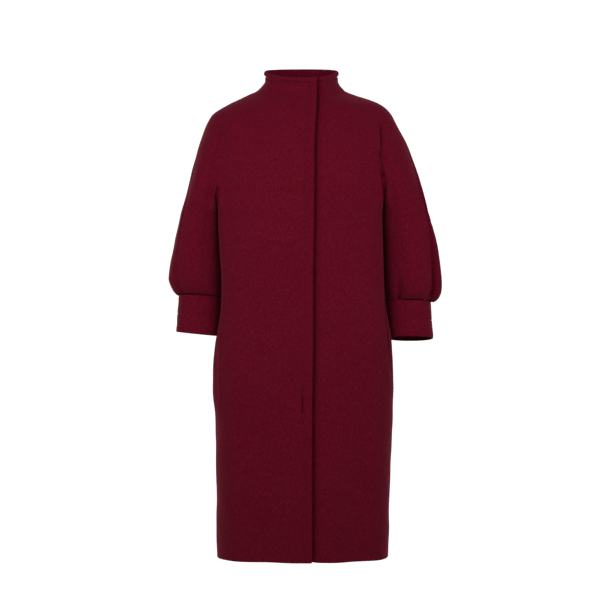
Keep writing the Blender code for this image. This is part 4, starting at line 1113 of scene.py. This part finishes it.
def outer_face(side, face, settings):
    """A panel's sheet and the points of its outer face."""
    sheet = coat_sheets(settings.spacing, settings.creasing)[side, face]
    return sheet, raised(sheet.points, sheet.normals, wall_heights(sheet)[0])


def collar_stitches(bm, side, face, settings):
    """The stitches below the collar's top edge, on one panel."""
    sheet, surface = outer_face(side, face, settings)
    below = lengths_along(sheet.points, 0)[:, sheet.body_end]
    row = int(np.abs(below - COLLAR_STITCH).argmin())
    start = LAP_STEPS.index(LAP_STITCH) if (side, face) == ("right", "front") else 0
    stitch_line(bm, surface[row, start:], sheet.normals[row, start:])


def lap_stitches(bm, side, settings):
    """The stitches beside a front's edge, from the collar to the hem."""
    sheet, surface = outer_face(side, "front", settings)
    column = LAP_STEPS.index(LAP_STITCH)
    top = int(np.abs(sheet.rows - COLLAR_TOP - COLLAR_STITCH).argmin())
    stitch_line(bm, surface[top:-2, column], sheet.normals[top:-2, column])


def cuff_stitches(bm, side):
    """The stitches round the middle of a cuff."""
    points, normals, shares, _ = cuff_grid(side)
    row = int(np.abs(shares - 0.5).argmin())
    place = raised(points[row], normals[row], cuff_ripple(points[row]) - CUFF_ROLL)
    stitch_line(bm, place, normals[row])


def make_stitching(settings):
    """The topstitching as one piece for each seam it follows."""
    rows = {
        "collar_topstitching": lambda bm: [
            collar_stitches(bm, side, face, settings) for side in SIGN for face in ("front", "back")
        ],
        "front_edge_topstitching": lambda bm: [lap_stitches(bm, side, settings) for side in SIGN],
        "cuff_topstitching": lambda bm: [cuff_stitches(bm, side) for side in SIGN],
    }
    for name, add in rows.items():
        bm = bmesh.new()
        add(bm)
        new_piece(name, bm, thread_look(settings), None)


class Look:
    """A procedural material in the making, on the place of each point on its object."""

    def __init__(self, name, shading):
        self.material = bpy.data.materials.new(name)
        self.material.use_nodes = True
        self.tree = self.material.node_tree
        self.shader = self.tree.nodes["Principled BSDF"]
        self.fill(self.shader, shading)
        self.place = self.node("TexCoord").outputs["Object"]

    def fill(self, node, inputs):
        """Gives a node's inputs a value or another node's output."""
        for name, value in inputs.items():
            if isinstance(value, bpy.types.NodeSocket):
                self.tree.links.new(value, node.inputs[name])
            else:
                node.inputs[name].default_value = value

    def node(self, kind, inputs=None, **settings):
        """A new node with its settings and its inputs."""
        node = self.tree.nodes.new("ShaderNode" + kind)
        for name, value in settings.items():
            setattr(node, name, value)
        self.fill(node, inputs or {})
        return node

    def noise(self, scale, detail=2.0, roughness=0.5, stretch=(1.0, 1.0, 1.0), turn=(0.0, 0.0, 0.0)):
        """Noise, which may be stretched along one direction and turned."""
        mapping = self.node("Mapping", {"Vector": self.place, "Scale": stretch, "Rotation": turn})
        inputs = {"Vector": mapping.outputs["Vector"], "Scale": scale}
        inputs.update({"Detail": detail, "Roughness": roughness})
        return self.node("TexNoise", inputs).outputs["Fac"]

    def mix(self, first, second, amount):
        """Two values mixed."""
        return self.node("Mix", {"Factor": amount, "A": first, "B": second}).outputs["Result"]

    def math(self, operation, *values):
        """The result of an arithmetic step on one or two values."""
        return self.node("Math", dict(enumerate(values)), operation=operation).outputs["Value"]

    def window(self, value, start, full):
        """0 at the start to 1 where a value is full."""
        inputs = {"Value": value, "From Min": start, "From Max": full}
        return self.node("MapRange", inputs).outputs["Result"]

    def ramp(self, value, low, high, middle=None):
        """Colours spread over a value, each given with its place on it."""
        node = self.node("ValToRGB", {"Fac": value})
        colours = node.color_ramp.elements
        for element, (position, colour) in zip(colours, (low, high)):
            element.position = position
            element.color = (*colour, 1.0)
        if middle:
            colours.new(middle[0]).color = (*middle[1], 1.0)
        return node.outputs["Color"]

    def bump(self, height, strength, distance):
        """Fine relief of the surface."""
        inputs = {"Height": height, "Strength": strength, "Distance": distance}
        self.fill(self.shader, {"Normal": self.node("Bump", inputs).outputs["Normal"]})


def painted_mouth_shade(look):
    """The painted shade along the mouth of the pocket on the wearer's left, as a share: the colour is
    darkened there to stand in for the shadow in the slit.
    """
    mouth = POCKET_LINES[0]
    slant = Vector((mouth.z - mouth.to_z, 0.0, mouth.to_x - mouth.x)).normalized()
    level = look.node("VectorMath", {0: look.place, 1: slant}, operation="DOT_PRODUCT")
    beside = look.math("SUBTRACT", level.outputs["Value"], slant.dot((mouth.x, 0.0, mouth.z)))
    parts = look.node("SeparateXYZ", {"Vector": look.place}).outputs
    shade = look.window(look.math("ABSOLUTE", beside), PAINTED_MOUTH_SHADE[1], PAINTED_MOUTH_SHADE[0])
    for part, start, full in (
        ("Z", mouth.z, mouth.z - PAINTED_MOUTH_FADE[0]),
        ("Z", mouth.to_z, mouth.to_z + PAINTED_MOUTH_FADE[1]),
        ("Y", *PAINTED_MOUTH_BEHIND),
    ):
        shade = look.math("MULTIPLY", shade, look.window(parts[part], start, full))
    return shade


def wool_cloth(settings):
    """Felted wool: matted fibres, mottled dye, a soft nap that catches the light at its edge, and painted
    shade in the left pocket's mouth.
    """
    found = bpy.data.materials.get("felted_wine_wool")
    if found:
        return found
    look = Look("felted_wine_wool", {
        "Roughness": 0.92,
        "Specular IOR Level": 0.05,
        "Sheen Weight": 0.20,
        "Sheen Roughness": 0.5,
        "Sheen Tint": (0.9, 0.12, 0.22, 1.0),
    })
    wool = Vector(settings.wool[:3])
    lengthwise = (1.0, 1.0, 0.22)
    fibre_a = look.noise(760.0, 2.0, 0.5, lengthwise, (0.0, 0.6, 0.0))
    fibre_b = look.noise(760.0, 2.0, 0.5, lengthwise, (0.0, -0.9, 0.3))
    grain = look.noise(820.0, 3.0, 0.65, (0.7, 0.7, 1.0))
    fine = look.mix(grain, look.mix(fibre_a, fibre_b, 0.5), 0.40)
    slow = look.mix(look.noise(120.0, 3.0, 0.6), look.noise(11.0), 0.40)
    fibres = look.ramp(
        look.mix(fine, slow, 0.05),
        low=(0.32, wool * Vector(DARK_FIBRES)),
        high=(0.68, wool * Vector(PALE_FIBRES)),
        middle=(0.50, wool * Vector(MIDDLE_FIBRES)),
    )
    # Painted shade: the colour is mixed towards dark wool along the left pocket's mouth, standing in for
    # the shadow in its slit
    colours = {0: painted_mouth_shade(look), 6: fibres, 7: (*(wool * PAINTED_MOUTH_DARK), 1.0)}
    shaded = look.node("Mix", colours, data_type="RGBA")
    look.fill(look.shader, {"Base Color": shaded.outputs[2]})
    look.bump(fine, 0.55, 0.0009)
    return look.material


def pocketing(settings):
    """Smooth twill pocket cloth: fine slanting ribs in the coat's colour."""
    found = bpy.data.materials.get("wine_pocketing")
    if found:
        return found
    look = Look("wine_pocketing", {"Roughness": 0.75, "Specular IOR Level": 0.2})
    cloth = Vector(settings.thread[:3])
    inputs = {"Vector": look.place, "Scale": 260.0, "Distortion": 1.5, "Detail": 1.0}
    ribs = look.node("TexWave", inputs, bands_direction="DIAGONAL").outputs["Fac"]
    patches = look.mix(ribs, look.noise(60.0), 0.5)
    look.fill(look.shader, {"Base Color": look.ramp(patches, (0.0, cloth * 0.7), (1.0, cloth * 1.1))})
    look.bump(ribs, 0.4, 0.0003)
    return look.material


def thread_look(settings):
    """Matte sewing thread in the coat's colour."""
    found = bpy.data.materials.get("wine_thread")
    if found:
        return found
    look = Look("wine_thread", {"Roughness": 0.6, "Specular IOR Level": 0.25})
    thread = Vector(settings.thread[:3])
    colour = look.ramp(look.noise(900.0), (0.0, thread * 0.8), (1.0, thread * 1.2))
    look.fill(look.shader, {"Base Color": colour})
    return look.material


def snap_metal(settings):
    """Black nickel plating, worn a little brighter in patches."""
    look = Look("black_nickel", {"Metallic": 1.0})
    metal = Vector(settings.metal[:3])
    worn = look.noise(380.0, 4.0)
    rough = look.node("MapRange", {"Value": worn, "To Min": 0.25, "To Max": 0.45})
    look.fill(look.shader, {
        "Base Color": look.ramp(worn, (0.35, metal * 0.8), (0.75, metal * 1.6)),
        "Roughness": rough.outputs["Result"],
    })
    return look.material


def length_of(name, description, default, **more):
    """A length in the sidebar."""
    return bpy.props.FloatProperty(
        name=name, description=description, default=default, unit="LENGTH", subtype="DISTANCE", **more
    )


def colour_of(name, description, colour):
    """A colour in the sidebar."""
    return bpy.props.FloatVectorProperty(
        name=name, description=description, default=(*colour, 1.0), size=4, subtype="COLOR",
        min=0.0, max=1.0,
    )


class CoatCloth(bpy.types.PropertyGroup):
    """Sizes and colours of the cloth."""

    spacing: length_of("Spacing", "Between the lines of the cloth's grid", 0.004, min=0.002, max=0.02)
    creasing: bpy.props.FloatProperty(
        name="Creasing", description="How strongly the creases show", default=1.0, subtype="FACTOR",
        min=0.0, max=1.5,
    )
    wool: colour_of("Wool", "Colour of the felted wool", (0.120, 0.00216, 0.0133))
    thread: colour_of("Thread", "Colour of the sewing thread", (0.090, 0.0040, 0.0120))
    metal: colour_of("Snaps", "Colour of the snaps' plating", (0.090, 0.090, 0.095))


class CoatStudio(bpy.types.PropertyGroup):
    """The camera, floor and light."""

    lens: bpy.props.FloatProperty(
        name="Lens", description="Focal length in millimetres", default=129.8, min=20, max=300,
    )
    distance: length_of("Distance", "From the camera to the middle of the coat", 4.5)
    aim_x: length_of("Aim across", "Where the camera looks, across", -0.0052)
    aim_z: length_of("Aim height", "The height of the camera", -0.418)
    floor: length_of("Floor", "The floor's height", -1.45)
    key_power: bpy.props.FloatProperty(
        name="Key light", description="Power of the main light in watts", default=12.0,
    )
    ambient: bpy.props.FloatProperty(
        name="Ambient", description="Brightness of the light from all round", default=0.16,
    )


class COAT_OT_fronts(bpy.types.Operator):
    """Model the two fronts, each with half a sleeve and half a collar"""

    bl_idname = "coat.fronts"
    bl_label = "Fronts"

    def execute(self, context):
        for side in SIGN:
            make_panel(side, "front", context.scene.coat_cloth)
        return {"FINISHED"}


class COAT_OT_backs(bpy.types.Operator):
    """Model the two backs, each with half a sleeve and half a collar"""

    bl_idname = "coat.backs"
    bl_label = "Backs"

    def execute(self, context):
        for side in SIGN:
            make_panel(side, "back", context.scene.coat_cloth)
        return {"FINISHED"}


class COAT_OT_cuffs(bpy.types.Operator):
    """Model the two deep cuffs"""

    bl_idname = "coat.cuffs"
    bl_label = "Cuffs"

    def execute(self, context):
        for side in SIGN:
            make_cuff(side, context.scene.coat_cloth)
        return {"FINISHED"}


class COAT_OT_pocket_bags(bpy.types.Operator):
    """Model the two pocket bags inside the fronts"""

    bl_idname = "coat.pocket_bags"
    bl_label = "Pocket bags"

    def execute(self, context):
        for side in SIGN:
            make_pocket_bag(side, context.scene.coat_cloth)
        return {"FINISHED"}


class COAT_OT_stitching(bpy.types.Operator):
    """Sew the topstitching of the collar, the front edges and the cuffs"""

    bl_idname = "coat.stitching"
    bl_label = "Topstitching"

    def execute(self, context):
        make_stitching(context.scene.coat_cloth)
        return {"FINISHED"}


class COAT_OT_snaps(bpy.types.Operator):
    """Plate the covered snaps in black nickel"""

    bl_idname = "coat.snaps"
    bl_label = "Snaps"

    def execute(self, context):
        plating = snap_metal(context.scene.coat_cloth)
        for name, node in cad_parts.items():
            if name.startswith("snap_"):
                for slot in node.material_slots:
                    slot.material = plating
        return {"FINISHED"}


class COAT_OT_studio(bpy.types.Operator):
    """Set up the camera, the pale floor, the backdrop and the soft lights"""

    bl_idname = "coat.studio"
    bl_label = "Studio"

    def execute(self, context):
        make_studio(context.scene.coat_studio)
        return {"FINISHED"}


class COAT_PT_panel(bpy.types.Panel):
    """The coat's pieces in the sidebar"""

    bl_idname = "COAT_PT_panel"
    bl_label = "Cocoon coat"
    bl_space_type = "VIEW_3D"
    bl_region_type = "UI"
    bl_category = "Coat"

    def draw(self, context):
        column = self.layout.column()
        for name in ("spacing", "creasing", "wool", "thread", "metal"):
            column.prop(context.scene.coat_cloth, name)
        for name in ("lens", "distance", "aim_x", "aim_z", "floor", "key_power", "ambient"):
            column.prop(context.scene.coat_studio, name)
        for operator in OPERATORS:
            column.operator(operator.bl_idname)


def plain_surface(name, colour, roughness, glow):
    """A plain material for the studio, with an even glow of its own."""
    material = bpy.data.materials.new(name)
    material.use_nodes = True
    shader = material.node_tree.nodes["Principled BSDF"]
    shader.inputs["Base Color"].default_value = (*colour, 1.0)
    shader.inputs["Roughness"].default_value = roughness
    shader.inputs["Emission Color"].default_value = (1.0, 1.0, 1.0, 1.0)
    shader.inputs["Emission Strength"].default_value = glow
    return material


def area_light(light, watts):
    """A square soft light aimed at the chest."""
    lamp = bpy.data.lights.new(light.name, "AREA")
    lamp.shape = "SQUARE"
    lamp.size = LIGHT_SIZE
    lamp.energy = watts
    thing = bpy.data.objects.new(light.name, lamp)
    thing.location = (light.x, light.y, light.z)
    thing.rotation_euler = (Vector(LIGHT_AIM) - thing.location).to_track_quat("-Z", "Y").to_euler()
    thing.visible_camera = False
    bpy.context.scene.collection.objects.link(thing)


def stage_piece(name, bm, material):
    """An object of the studio."""
    mesh = bpy.data.meshes.new(name)
    bm.to_mesh(mesh)
    bm.free()
    mesh.materials.append(material)
    thing = bpy.data.objects.new(name, mesh)
    bpy.context.scene.collection.objects.link(thing)
    return thing


def make_studio(studio):
    """The camera, the floor, the backdrop and the lights."""
    scene = bpy.context.scene
    camera = bpy.data.cameras.new("camera")
    camera.lens = studio.lens
    camera.sensor_width = SENSOR
    view = bpy.data.objects.new("camera", camera)
    view.location = (studio.aim_x, -studio.distance, studio.aim_z)
    view.rotation_euler = (math.pi / 2, 0.0, 0.0)
    scene.collection.objects.link(view)
    scene.camera = view
    bm = bmesh.new()
    level = Matrix.Translation((0, 0, studio.floor))
    bmesh.ops.create_circle(bm, cap_ends=True, segments=96, radius=FLOOR_RADIUS, matrix=level)
    floor = stage_piece("floor", bm, plain_surface("pale_floor", (0.80, 0.80, 0.80), 0.7, 0.55))
    floor.visible_diffuse = False
    bm = bmesh.new()
    bmesh.ops.create_uvsphere(bm, u_segments=32, v_segments=16, radius=BACKDROP_RADIUS)
    bmesh.ops.reverse_faces(bm, faces=bm.faces[:])
    backdrop = stage_piece("backdrop", bm, plain_surface("white_backdrop", (1.0, 1.0, 1.0), 1.0, 1.0))
    for ray in ("diffuse", "glossy", "transmission", "volume_scatter", "shadow"):
        setattr(backdrop, "visible_" + ray, False)
    for light in LIGHTS:
        area_light(light, light.share * studio.key_power)
    world = bpy.data.worlds.new("studio")
    world.use_nodes = True
    around = world.node_tree.nodes["Background"]
    around.inputs["Color"].default_value = (1.0, 1.0, 1.0, 1.0)
    around.inputs["Strength"].default_value = studio.ambient
    scene.world = world
    scene.view_settings.view_transform = "Standard"


OPERATORS = (
    COAT_OT_fronts, COAT_OT_backs, COAT_OT_cuffs, COAT_OT_pocket_bags, COAT_OT_stitching,
    COAT_OT_snaps, COAT_OT_studio,
)
CLASSES = (CoatCloth, CoatStudio, *OPERATORS, COAT_PT_panel)


def register():
    for item in CLASSES:
        bpy.utils.register_class(item)
    bpy.types.Scene.coat_cloth = bpy.props.PointerProperty(type=CoatCloth)
    bpy.types.Scene.coat_studio = bpy.props.PointerProperty(type=CoatStudio)


def unregister():
    del bpy.types.Scene.coat_cloth
    del bpy.types.Scene.coat_studio
    for item in reversed(CLASSES):
        bpy.utils.unregister_class(item)


def main():
    register()
    bpy.ops.coat.studio()
    bpy.ops.coat.fronts()
    bpy.ops.coat.backs()
    bpy.ops.coat.cuffs()
    bpy.ops.coat.pocket_bags()
    bpy.ops.coat.stitching()
    bpy.ops.coat.snaps()


if __name__ == "__main__":
    main()
